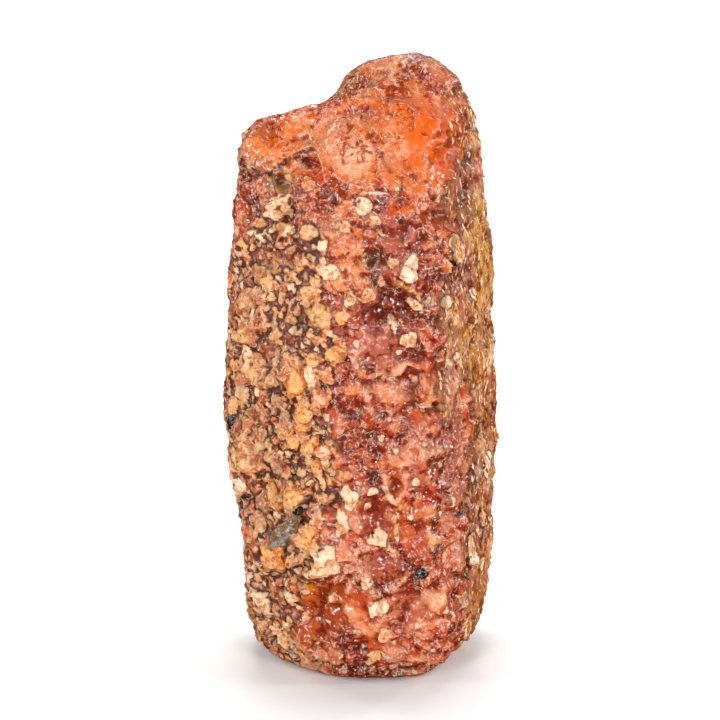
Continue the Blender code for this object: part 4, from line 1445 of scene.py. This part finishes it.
    def finished(self) -> bpy.types.Object:
        """Turns the skin into the ruby's object.

        Returns:
            The dressed object, on its body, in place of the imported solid.
        """
        skin = self.skin
        mesh = skin.mesh
        mesh.vertices.foreach_set("co", (kept_inside(skin.points) * MM).ravel())
        mesh.update()
        for name, tint in (("tint", skin.tint), ("grain_tint", skin.masks["grain_tint"])):
            colour = np.concatenate([np.clip(tint, 0.0, 1.0), np.ones((len(tint), 1))], axis=1)
            mesh.attributes.new(name, "FLOAT_COLOR", "POINT").data.foreach_set("color", colour.ravel())
        rest = mesh.attributes.new("rest", "FLOAT_VECTOR", "POINT")
        rest.data.foreach_set("vector", skin.masks["rest"].ravel())
        for name in ("glassy", "relief", "flaky", "busy", "edge"):
            mesh.attributes.new(name, "FLOAT", "POINT").data.foreach_set("value", skin.masks[name])
        mesh.polygons.foreach_set("use_smooth", np.ones(len(mesh.polygons), bool))
        mesh.materials.append(self.finish.material())
        body = bpy.data.objects.new("ruby_body", mesh)
        bpy.context.scene.collection.objects.link(body)
        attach(body, STONE_BODY)
        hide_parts(STONE_NODE)
        return body


@dataclass(frozen=True)
class Cut:
    """How a kind of grain is shaped: its flat faces, how sharp its edges are, its roughness and its pits."""

    faces: int
    sharpness: float
    rough: float
    pits: int
    detail: int
    deep: float = 0.6


ANGULAR = Cut(faces=11, sharpness=16.0, rough=0.05, pits=0, detail=3)
ROUNDED = Cut(faces=9, sharpness=9.0, rough=0.16, pits=7, detail=4)
CHIP = Cut(faces=8, sharpness=14.0, rough=0.0, pits=0, detail=1)


@dataclass
class Grains:
    """Many grains of one mineral, set into the skin and joined in one mesh."""

    name: str
    finish: GrainFinish
    skin: Skin
    seed: int
    points: list[np.ndarray] = field(default_factory=list)
    faces: list[np.ndarray] = field(default_factory=list)
    tints: list[np.ndarray] = field(default_factory=list)
    exposed: list[np.ndarray] = field(default_factory=list)
    count: int = 0

    SPHERES = {}

    def __post_init__(self) -> None:
        """Starts the grains' own random numbers."""
        self.random = np.random.default_rng(self.seed)

    def sphere(self, detail: int) -> tuple[np.ndarray, np.ndarray]:
        """Gives the directions and the triangles of a ball of triangles.

        Args:
            detail: how often its triangles are split.

        Returns:
            One direction for each point, and three point numbers for each triangle.
        """
        if detail not in self.SPHERES:
            bm = bmesh.new()
            bmesh.ops.create_icosphere(bm, subdivisions=detail, radius=1.0)
            directions = np.array([v.co.normalized() for v in bm.verts])
            triangles = np.array([[v.index for v in face.verts] for face in bm.faces])
            bm.free()
            self.SPHERES[detail] = (directions, triangles)
        return self.SPHERES[detail]

    def cut_form(self, cut: Cut) -> tuple[np.ndarray, np.ndarray]:
        """Cuts one grain about a unit wide.

        Args:
            cut: how the grain is shaped.

        Returns:
            Its points and its triangles.
        """
        directions, triangles = self.sphere(cut.detail)
        normals = self.random.normal(size=(cut.faces, 3))
        normals /= np.linalg.norm(normals, axis=1, keepdims=True)
        distances = self.random.uniform(0.72, 1.0, cut.faces)
        push = np.clip(directions @ normals.T / distances, 0.0, None)
        radii = 1.0 / np.maximum((push ** cut.sharpness).sum(axis=1) ** (1 / cut.sharpness), 0.72)
        for _ in range(cut.pits):
            middle = self.random.normal(size=3)
            middle /= np.linalg.norm(middle)
            width = self.random.uniform(0.12, 0.3)
            near = np.linalg.norm(directions - middle, axis=1) / width
            radii -= self.random.uniform(0.08, 0.25) * np.exp(-near ** 2)
        if cut.rough:
            rough = fractal(directions + self.random.uniform(0, 50), 0.5, 0.0, 3)
            radii += cut.rough * rough
        return directions * radii[:, None], triangles

    def add(
        self, index: int, wide: float, tall: float, rise: float, lean: float, tint: np.ndarray, cut: Cut,
        tilt: float = 0.0,
    ) -> None:
        """Sets one grain into the skin.

        Args:
            index: the skin's point under the grain's middle.
            wide: its width along the skin.
            tall: its height along the skin.
            rise: how far it stands out.
            lean: how far it leans to the left, in degrees.
            tint: its colour in linear light.
            cut: how it is shaped.
            tilt: how far it stands up from the skin, in degrees.
        """
        skin = self.skin
        first, second, normal = skin.axes(index, lean)
        tipped = math.radians(tilt)
        second, normal = (
            second * math.cos(tipped) + normal * math.sin(tipped),
            normal * math.cos(tipped) - second * math.sin(tipped),
        )
        form, triangles = self.cut_form(cut)
        deep = max(cut.deep * min(wide, tall), rise * 1.4) / 2
        middle = skin.points[index] + normal * (rise - deep * 0.9)
        placed = middle + form[:, :1] * first * wide / 2 + form[:, 1:2] * second * tall / 2
        placed = placed + form[:, 2:] * normal * deep
        # A grain that would reach past the box moves in as a whole and keeps its form
        past = placed - kept_inside(placed)
        placed = placed - past[np.abs(past).argmax(axis=0), range(3)]
        self.faces.append(triangles + self.count)
        self.points.append(placed)
        self.count += len(placed)
        out = (placed - skin.points[index]) @ skin.normals[index]
        self.exposed.append(np.clip(out / max(rise, 0.05), 0.0, 1.0))
        shade = 1.0 + self.random.uniform(-0.10, 0.10)
        self.tints.append(np.tile(np.clip(tint * shade, 0.0, 1.0), (len(placed), 1)))

    def add_seen(self, marks: Sequence[GrainMark], cut: Cut) -> None:
        """Sets the grains that the front view shows, each in its true size on the skin.

        Args:
            marks: the grains.
            cut: how they are shaped.
        """
        for mark in marks:
            index = self.skin.spot(mark.across, mark.up)
            wide, tall = self.skin.true_size(index, mark.wide, mark.tall)
            self.add(index, wide, tall, mark.rise, mark.lean, mark.tint.light, cut)

    def build(self) -> bpy.types.Object:
        """Joins the grains in one mesh.

        Returns:
            The grains' object, dressed, on its body.
        """
        points = np.concatenate(self.points)
        faces = np.concatenate(self.faces)
        tints = np.concatenate(self.tints)
        mesh = bpy.data.meshes.new(self.name)
        mesh.from_pydata((points * MM).tolist(), [], faces.tolist())
        tints = np.concatenate([tints, np.ones((len(tints), 1))], axis=1)
        mesh.attributes.new("tint", "FLOAT_COLOR", "POINT").data.foreach_set("color", tints.ravel())
        exposed = np.concatenate(self.exposed)
        mesh.attributes.new("exposed", "FLOAT", "POINT").data.foreach_set("value", exposed)
        mesh.shade_smooth()
        mesh.set_sharp_from_angle(angle=math.radians(32.0))
        mesh.materials.append(self.finish.material())
        piece = bpy.data.objects.new(self.name, mesh)
        bpy.context.scene.collection.objects.link(piece)
        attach(piece, STONE_BODY)
        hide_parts(STONE_NODE)
        return piece


@dataclass(frozen=True)
class Strewing:
    """How chips of one kind lie: their spacing, number, sizes, rise and lean, and the tints they have."""

    spacing: float
    most: int
    wide: Span
    stretch: Span
    rise: Span
    lean: Span
    tints: tuple[Tint, ...]


GRAVEL_LIES = Strewing(
    0.62, 700, (0.10, 0.26), (0.7, 1.6), (0.01, 0.05), (0, 180),
    (Tint.TAN, Tint.SAND, Tint.SAND, Tint.UMBER, Tint.CREAM, Tint.APRICOT, Tint.BLUSH),
)
FLAKES_LIE = Strewing(
    0.30, 2300, (0.07, 0.20), (1.2, 4.0), (0.02, 0.07), (-14, 14),
    (Tint.OCHRE, Tint.TAN, Tint.CREAM, Tint.UMBER, Tint.TAN, Tint.MAUVE_BROWN, Tint.HONEY, Tint.CREAM),
)
GRIT_LIES = Strewing(
    0.62, 4500, (0.04, 0.10), (0.8, 1.8), (0.02, 0.06), (0, 180),
    (Tint.WHITE, Tint.CREAM, Tint.BLUSH, Tint.APRICOT),
)


@dataclass
class Rock:
    """All that is grown into the ruby's skin."""

    skin: Skin
    mica_spacing: float = 11.0
    needle_spacing: float = 0.38
    most_needles: int = 560
    needle_wide: Span = (0.04, 0.07)
    needle_long: Span = (0.25, 0.75)
    needle_rise: float = 0.02
    needle_lean: Span = (45.0, 28.0)

    WHITES = (
        GrainMark(0.3, 28.4, 1.0, 1.1, 20, Tint.WHITE, 0.34),
        GrainMark(-0.9, 27.2, 0.8, 0.7, 10, Tint.BLUSH, 0.25),
        GrainMark(0.7, 27.4, 0.9, 0.6, 0, Tint.BLUSH, 0.22),
        GrainMark(-5.1, 28.4, 0.9, 1.7, 8, Tint.CREAM, 0.34),
        GrainMark(-3.1, 29.7, 0.8, 0.8, 30, Tint.PALE_ROSE, 0.25),
        GrainMark(-1.8, 24.3, 1.1, 1.0, 45, Tint.CREAM, 0.34),
        GrainMark(3.1, 24.6, 1.1, 1.8, -20, Tint.WHITE, 0.38),
        GrainMark(1.9, 25.0, 0.9, 0.7, 0, Tint.CREAM, 0.26),
        GrainMark(5.9, 25.9, 0.9, 2.0, 0, Tint.CREAM, 0.30),
        GrainMark(0.5, 22.9, 1.0, 0.8, 10, Tint.BLUSH, 0.26),
        GrainMark(-0.7, 22.8, 1.1, 0.9, -5, Tint.CREAM, 0.26),
        GrainMark(1.3, 23.8, 0.4, 0.8, 10, Tint.BLUSH, 0.20),
        GrainMark(3.3, 22.5, 1.3, 0.5, -30, Tint.CREAM, 0.28),
        GrainMark(2.1, 21.1, 0.4, 0.7, 10, Tint.WHITE, 0.24),
        GrainMark(2.9, 20.3, 0.7, 1.1, 30, Tint.CREAM, 0.28),
        GrainMark(-7.1, 17.3, 0.9, 1.2, -20, Tint.CREAM, 0.32),
        GrainMark(-7.1, 11.8, 0.5, 1.0, 0, Tint.WHITE, 0.28),
        GrainMark(-1.0, 12.1, 0.9, 0.7, 0, Tint.APRICOT, 0.26),
        GrainMark(-0.7, 10.9, 1.0, 1.6, 30, Tint.CREAM, 0.34),
        GrainMark(-1.1, 9.0, 1.1, 1.0, 20, Tint.CREAM, 0.32),
        GrainMark(0.8, 11.3, 0.7, 0.6, 0, Tint.CREAM, 0.28),
        GrainMark(0.9, 8.4, 1.4, 0.7, 15, Tint.CREAM, 0.30),
        GrainMark(2.3, 8.4, 0.4, 0.4, 0, Tint.CREAM, 0.20),
        GrainMark(1.9, 7.7, 0.9, 0.5, -10, Tint.BLUSH, 0.24),
        GrainMark(1.1, 4.2, 1.7, 0.9, 35, Tint.CREAM, 0.30),
        GrainMark(1.6, 2.6, 1.3, 0.9, 0, Tint.BLUSH, 0.26),
        GrainMark(0.9, 1.5, 1.1, 0.6, -10, Tint.TAN, 0.22),
        GrainMark(1.3, 14.4, 0.5, 0.5, 0, Tint.WHITE, 0.20),
        GrainMark(4.9, 29.2, 0.7, 0.6, 0, Tint.BLUSH, 0.22),
        GrainMark(6.8, 23.0, 0.5, 0.9, 0, Tint.WHITE, 0.24),
        GrainMark(6.9, 21.7, 0.5, 0.8, 0, Tint.CREAM, 0.22),
        GrainMark(5.2, 22.7, 0.5, 1.0, 15, Tint.CREAM, 0.22),
        GrainMark(5.7, 22.6, 0.4, 1.0, 0, Tint.TAN, 0.22),
        GrainMark(5.8, 19.3, 0.4, 0.9, 0, Tint.CREAM, 0.20),
        GrainMark(7.7, 12.9, 0.6, 2.2, 0, Tint.WHITE, 0.30),
        GrainMark(7.9, 9.5, 0.5, 0.7, 0, Tint.WHITE, 0.24),
        GrainMark(7.3, 9.7, 0.4, 1.1, 0, Tint.CREAM, 0.22),
        GrainMark(4.9, 9.8, 0.3, 1.1, 0, Tint.WHITE, 0.20),
        GrainMark(6.9, 7.7, 0.7, 2.4, -8, Tint.WHITE, 0.30),
        GrainMark(7.3, 6.9, 0.3, 1.2, -8, Tint.CREAM, 0.22),
        GrainMark(6.4, 4.7, 0.4, 1.3, -8, Tint.CREAM, 0.24),
        GrainMark(6.3, 3.4, 0.4, 1.1, -8, Tint.CREAM, 0.24),
        GrainMark(5.4, 3.6, 0.4, 1.0, 0, Tint.CREAM, 0.22),
        GrainMark(6.3, 10.7, 0.5, 0.6, 0, Tint.CREAM, 0.22),
        GrainMark(5.2, 7.4, 0.4, 0.8, 0, Tint.BLUSH, 0.22),
        GrainMark(-2.7, 9.5, 0.8, 1.9, -25, Tint.BLUSH, 0.30),
        GrainMark(-2.2, 7.0, 1.1, 2.3, -22, Tint.CREAM, 0.32),
        GrainMark(-5.0, 2.8, 1.0, 0.6, -10, Tint.BLUSH, 0.26),
        GrainMark(-3.9, 1.7, 0.8, 0.8, 0, Tint.GREY, 0.26),
        GrainMark(-4.3, 3.3, 0.7, 0.3, 20, Tint.WHITE, 0.20),
        GrainMark(-1.9, 17.1, 0.5, 0.9, 0, Tint.BLUSH, 0.22),
    )

    PEBBLES = (
        GrainMark(-6.3, 19.0, 1.4, 1.8, 10, Tint.TAN, 0.42),
        GrainMark(-1.5, 19.5, 1.0, 1.2, 0, Tint.TAN, 0.34),
        GrainMark(-2.8, 19.2, 1.0, 0.8, 0, Tint.TAN, 0.36),
        GrainMark(-4.0, 18.3, 1.5, 2.2, -10, Tint.TAN, 0.40),
        GrainMark(-2.9, 17.9, 0.8, 1.6, 8, Tint.CREAM, 0.38),
        GrainMark(-2.0, 18.2, 0.6, 1.1, 0, Tint.BLUSH, 0.30),
        GrainMark(-2.2, 16.8, 0.9, 1.4, -5, Tint.BLUSH, 0.40),
        GrainMark(-3.3, 16.2, 1.2, 1.3, 30, Tint.TAN, 0.42),
        GrainMark(-3.5, 15.2, 0.8, 0.6, 0, Tint.TAN, 0.34),
        GrainMark(-4.7, 14.9, 1.2, 0.9, 10, Tint.TAN, 0.34),
        GrainMark(-4.1, 14.4, 0.9, 1.1, 10, Tint.TAN, 0.38),
        GrainMark(-3.1, 14.1, 0.8, 1.2, -10, Tint.TAN, 0.38),
        GrainMark(-2.2, 13.7, 0.8, 1.1, 20, Tint.BLUSH, 0.36),
        GrainMark(-2.6, 12.8, 0.7, 1.1, 10, Tint.TAN, 0.34),
        GrainMark(-6.6, 13.7, 1.7, 2.2, 15, Tint.SAND, 0.42),
        GrainMark(-5.1, 11.2, 0.9, 1.8, 15, Tint.TAN, 0.36),
        GrainMark(-4.0, 11.2, 1.0, 1.2, 0, Tint.TAN, 0.38),
        GrainMark(-4.3, 10.4, 0.8, 0.9, 0, Tint.TAN, 0.32),
        GrainMark(-5.9, 9.4, 0.6, 1.1, 0, Tint.SAND, 0.30),
        GrainMark(-4.4, 8.7, 1.3, 2.3, -30, Tint.GREY, 0.40),
        GrainMark(-3.2, 8.6, 1.0, 2.0, -12, Tint.TAN, 0.40),
        GrainMark(-5.3, 7.3, 1.6, 1.5, 20, Tint.TAN, 0.44),
        GrainMark(-6.6, 8.8, 1.5, 1.0, 0, Tint.APRICOT, 0.38),
        GrainMark(-6.1, 24.5, 1.0, 0.9, 20, Tint.SAND, 0.30),
        GrainMark(-5.5, 23.7, 0.8, 0.9, 0, Tint.TAN, 0.28),
        GrainMark(-6.5, 23.1, 1.1, 1.0, 0, Tint.SAND, 0.32),
        GrainMark(-6.7, 21.0, 1.2, 1.6, 0, Tint.TAN, 0.36),
        GrainMark(-4.6, 27.0, 1.0, 0.8, 0, Tint.SAND, 0.30),
        GrainMark(-3.6, 25.1, 1.1, 1.0, 0, Tint.SAND, 0.28),
        GrainMark(-1.1, 21.8, 0.8, 0.8, 0, Tint.TAN, 0.28),
        GrainMark(-4.3, 30.0, 0.6, 0.5, 0, Tint.TAN, 0.24),
        GrainMark(-6.0, 16.0, 1.0, 1.2, -30, Tint.UMBER, 0.34),
        GrainMark(-6.8, 15.4, 0.7, 0.7, 0, Tint.SAND, 0.28),
        GrainMark(-4.9, 12.8, 0.9, 0.9, 0, Tint.UMBER, 0.32),
        GrainMark(-4.9, 20.6, 0.8, 1.0, 0, Tint.SAND, 0.30),
    )

    MICAS = (
        GrainMark(3.7, 6.4, 0.9, 0.7, 0, Tint.BLACK, 0.26),
        GrainMark(3.5, 6.2, 0.5, 0.5, 30, Tint.BLACK, 0.30),
        GrainMark(-3.7, 10.3, 0.6, 0.7, 20, Tint.BLACK, 0.42),
        GrainMark(-4.0, 13.4, 0.3, 0.3, 0, Tint.BLACK, 0.40),
        GrainMark(-3.9, 12.6, 0.4, 0.3, 0, Tint.BLACK, 0.38),
        GrainMark(-4.5, 8.3, 0.4, 1.3, -30, Tint.BLACK, 0.46),
        GrainMark(5.9, 9.9, 0.3, 0.4, 0, Tint.BLACK, 0.24),
        GrainMark(-7.8, 15.4, 0.5, 1.0, 0, Tint.BLACK, 0.30),
    )

    def strew(self, kind: Grains, way: Strewing, where: np.ndarray, random: np.random.Generator) -> None:
        """Strews chips of one kind over a zone.

        Args:
            kind: the grains that they are added to.
            way: how they lie.
            where: true for the skin's points that they may lie on.
            random: the random numbers to draw from.
        """
        order = random.permutation(np.flatnonzero(where))
        for index in spread_out(self.skin.points, order, lambda _: way.spacing)[:way.most]:
            wide = random.uniform(*way.wide)
            tint = way.tints[random.integers(len(way.tints))]
            kind.add(
                index, wide, wide * random.uniform(*way.stretch), random.uniform(*way.rise),
                random.uniform(*way.lean), tint.light, CHIP,
            )

    def strew_needles(self, kind: Grains, random: np.random.Generator) -> None:
        """Lays pale needles across the slanted top face.

        Args:
            kind: the grains that they are added to.
            random: the random numbers to draw from.
        """
        order = random.permutation(np.flatnonzero(self.skin.masks["top"] > 0.5))
        for index in spread_out(self.skin.points, order, lambda _: self.needle_spacing)[:self.most_needles]:
            tint = GRIT_LIES.tints[random.integers(len(GRIT_LIES.tints))]
            kind.add(
                index, random.uniform(*self.needle_wide), random.uniform(*self.needle_long), self.needle_rise,
                random.normal(*self.needle_lean), tint.light, CHIP,
            )

    def build(self) -> list[bpy.types.Object]:
        """Grows every kind of grain into the skin.

        Returns:
            The pieces, each with one mineral.
        """
        skin = self.skin
        random = np.random.default_rng(5)
        pebbles = Grains("matrix_pebbles", PEBBLE, skin, 12)
        standing = [
            replace(mark, wide=mark.wide * 0.86, tall=mark.tall * 0.86, rise=mark.rise * 0.34)
            for mark in self.PEBBLES if mark.rise >= 0.34 and mark.across > -6.0
        ]
        pebbles.add_seen(standing, ROUNDED)
        height = skin.points[:, 2]
        gravel = Grains("matrix_gravel", PEBBLE, skin, 13)
        self.strew(gravel, GRAVEL_LIES, (skin.masks["matrix"] > 0.25) & (height > 0.3), random)
        flakes = Grains("crust_flakes", CRUST, skin, 14)
        self.strew(flakes, FLAKES_LIE, (skin.masks["flaky"] > 0.4) & (height > 0.4), random)
        micas = Grains("mica_flakes", MICA, skin, 15)
        plate = replace(ANGULAR, detail=2)
        micas.add_seen([replace(mark, rise=mark.rise * 0.5) for mark in self.MICAS], plate)
        order = random.permutation(np.flatnonzero((skin.facing < -0.55) & (height > 1.0)))[:3000]
        for index in spread_out(skin.points, order, lambda _: self.mica_spacing):
            micas.add(index, 0.7, 0.5, 0.12, random.uniform(0, 180), Tint.BLACK.light, plate)
        grit = Grains("quartz_grit", GLINT, skin, 16)
        self.strew(grit, GRIT_LIES, height > 0.4, random)
        self.strew_needles(grit, random)
        return [kind.build() for kind in (pebbles, gravel, flakes, micas, grit)]


@dataclass(frozen=True)
class Lamp:
    """A square soft lamp: its turn and height in degrees, its distance and size in metres, its watts."""

    name: str
    turn: float
    above: float
    distance: float
    size: float
    watts: float
    glints: bool = True


@dataclass(frozen=True)
class Studio:
    """A white table in a light tent, and the camera."""

    distance: float = 1.5
    frame_width: float = 0.0432
    middle_up: float = 19.2
    sensor: float = 36.0
    floor_size: float = 3.0
    floor_colour: str = "#FBFBFB"
    tent: float = 0.20
    aim_height: float = 0.018

    LAMPS = (
        Lamp("top_softbox", 180.0, 78.0, 0.45, 0.18, 1.15, glints=False),
        Lamp("low_left_lamp", -36.0, 12.0, 0.50, 0.110, 1.05),
        Lamp("low_right_lamp", 42.0, 12.0, 0.50, 0.110, 0.98),
        Lamp("left_lamp", -78.0, 26.0, 0.50, 0.080, 0.46),
        Lamp("right_lamp", 80.0, 26.0, 0.50, 0.080, 0.58),
        Lamp("front_left_lamp", -20.0, 40.0, 0.50, 0.045, 0.16),
        Lamp("front_right_lamp", 22.0, 40.0, 0.50, 0.045, 0.16),
        Lamp("back_left_lamp", -128.0, 24.0, 0.50, 0.100, 0.55),
        Lamp("back_right_lamp", 128.0, 24.0, 0.50, 0.100, 0.55),
        Lamp("back_lamp", 180.0, 24.0, 0.50, 0.080, 0.40),
    )

    def build_floor(self) -> bpy.types.Object:
        """Makes the white table.

        Returns:
            The floor.
        """
        bm = bmesh.new()
        bmesh.ops.create_grid(bm, x_segments=8, y_segments=8, size=self.floor_size / 2)
        mesh = bpy.data.meshes.new("white_table")
        bm.to_mesh(mesh)
        bm.free()
        # Matt white acrylic: it takes the soft shadow and shows no glints
        material = bpy.data.materials.new("matt_white_acrylic")
        material.use_nodes = True
        shader = material.node_tree.nodes["Principled BSDF"]
        shader.inputs["Base Color"].default_value = linear(self.floor_colour)
        shader.inputs["Roughness"].default_value = 0.9
        shader.inputs["Specular IOR Level"].default_value = 0.0
        mesh.materials.append(material)
        floor = bpy.data.objects.new("white_table", mesh)
        bpy.context.scene.collection.objects.link(floor)
        floor.visible_glossy = False
        return floor

    def add_light(self, lamp_set: Lamp, place: Vector) -> None:
        """Adds a square soft light that faces the middle of the stone.

        Args:
            lamp_set: its name, size and power.
            place: where it stands, in metres.
        """
        light = bpy.data.lights.new(lamp_set.name, "AREA")
        light.size = lamp_set.size
        light.energy = lamp_set.watts
        lamp = bpy.data.objects.new(lamp_set.name, light)
        lamp.visible_glossy = lamp_set.glints
        lamp.location = place
        target = Vector((0.0, 0.0, self.aim_height))
        lamp.rotation_euler = (target - place).to_track_quat("-Z", "Y").to_euler()
        bpy.context.scene.collection.objects.link(lamp)

    def build_lights(self) -> None:
        """Lights the stone evenly from above and all round; only the lamps show as glints on it."""
        world = bpy.data.worlds.new("light_tent")
        world.use_nodes = True
        world.node_tree.nodes["Background"].inputs["Color"].default_value = (1.0, 1.0, 1.0, 1.0)
        world.node_tree.nodes["Background"].inputs["Strength"].default_value = self.tent
        world.cycles_visibility.glossy = False
        bpy.context.scene.world = world
        for lamp in self.LAMPS:
            side, height = math.radians(lamp.turn), math.radians(lamp.above)
            flat = math.cos(height)
            towards = Vector((math.sin(side) * flat, -math.cos(side) * flat, math.sin(height)))
            self.add_light(lamp, towards * lamp.distance)

    def build_camera(self) -> None:
        """Places a long lens in front of the stone and a little above it."""
        data = bpy.data.cameras.new("camera")
        data.sensor_width = self.sensor
        data.lens = self.sensor * self.distance / self.frame_width
        data.clip_end = 10.0
        camera = bpy.data.objects.new("camera", data)
        towards = Vector(VIEW.towards)
        middle = Vector((0.0, 0.0, (self.middle_up - VIEW.up_at_origin) * MM / math.cos(VIEW.above)))
        camera.location = middle + towards * self.distance
        camera.rotation_euler = (-towards).to_track_quat("-Z", "Y").to_euler()
        bpy.context.scene.collection.objects.link(camera)
        bpy.context.scene.camera = camera

    def build(self) -> None:
        """Sets up the table, the lights, the camera and the picture's colours."""
        self.build_floor()
        self.build_lights()
        self.build_camera()
        bpy.context.scene.view_settings.view_transform = "Standard"
        bpy.context.scene.view_settings.look = "None"


def main() -> None:
    """Builds the stone and its stage."""
    logging.basicConfig(level=logging.INFO, format="%(message)s")
    skin = Skin(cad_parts[STONE_NODE])
    LOG.info("skin: %d points", len(skin.points))
    body = RubyBody(skin).build()
    LOG.info("%s: %d faces", body.name, len(body.data.polygons))
    for piece in Rock(skin).build():
        LOG.info("%s: %d faces", piece.name, len(piece.data.polygons))
    Studio().build()


if __name__ == "__main__":
    main()
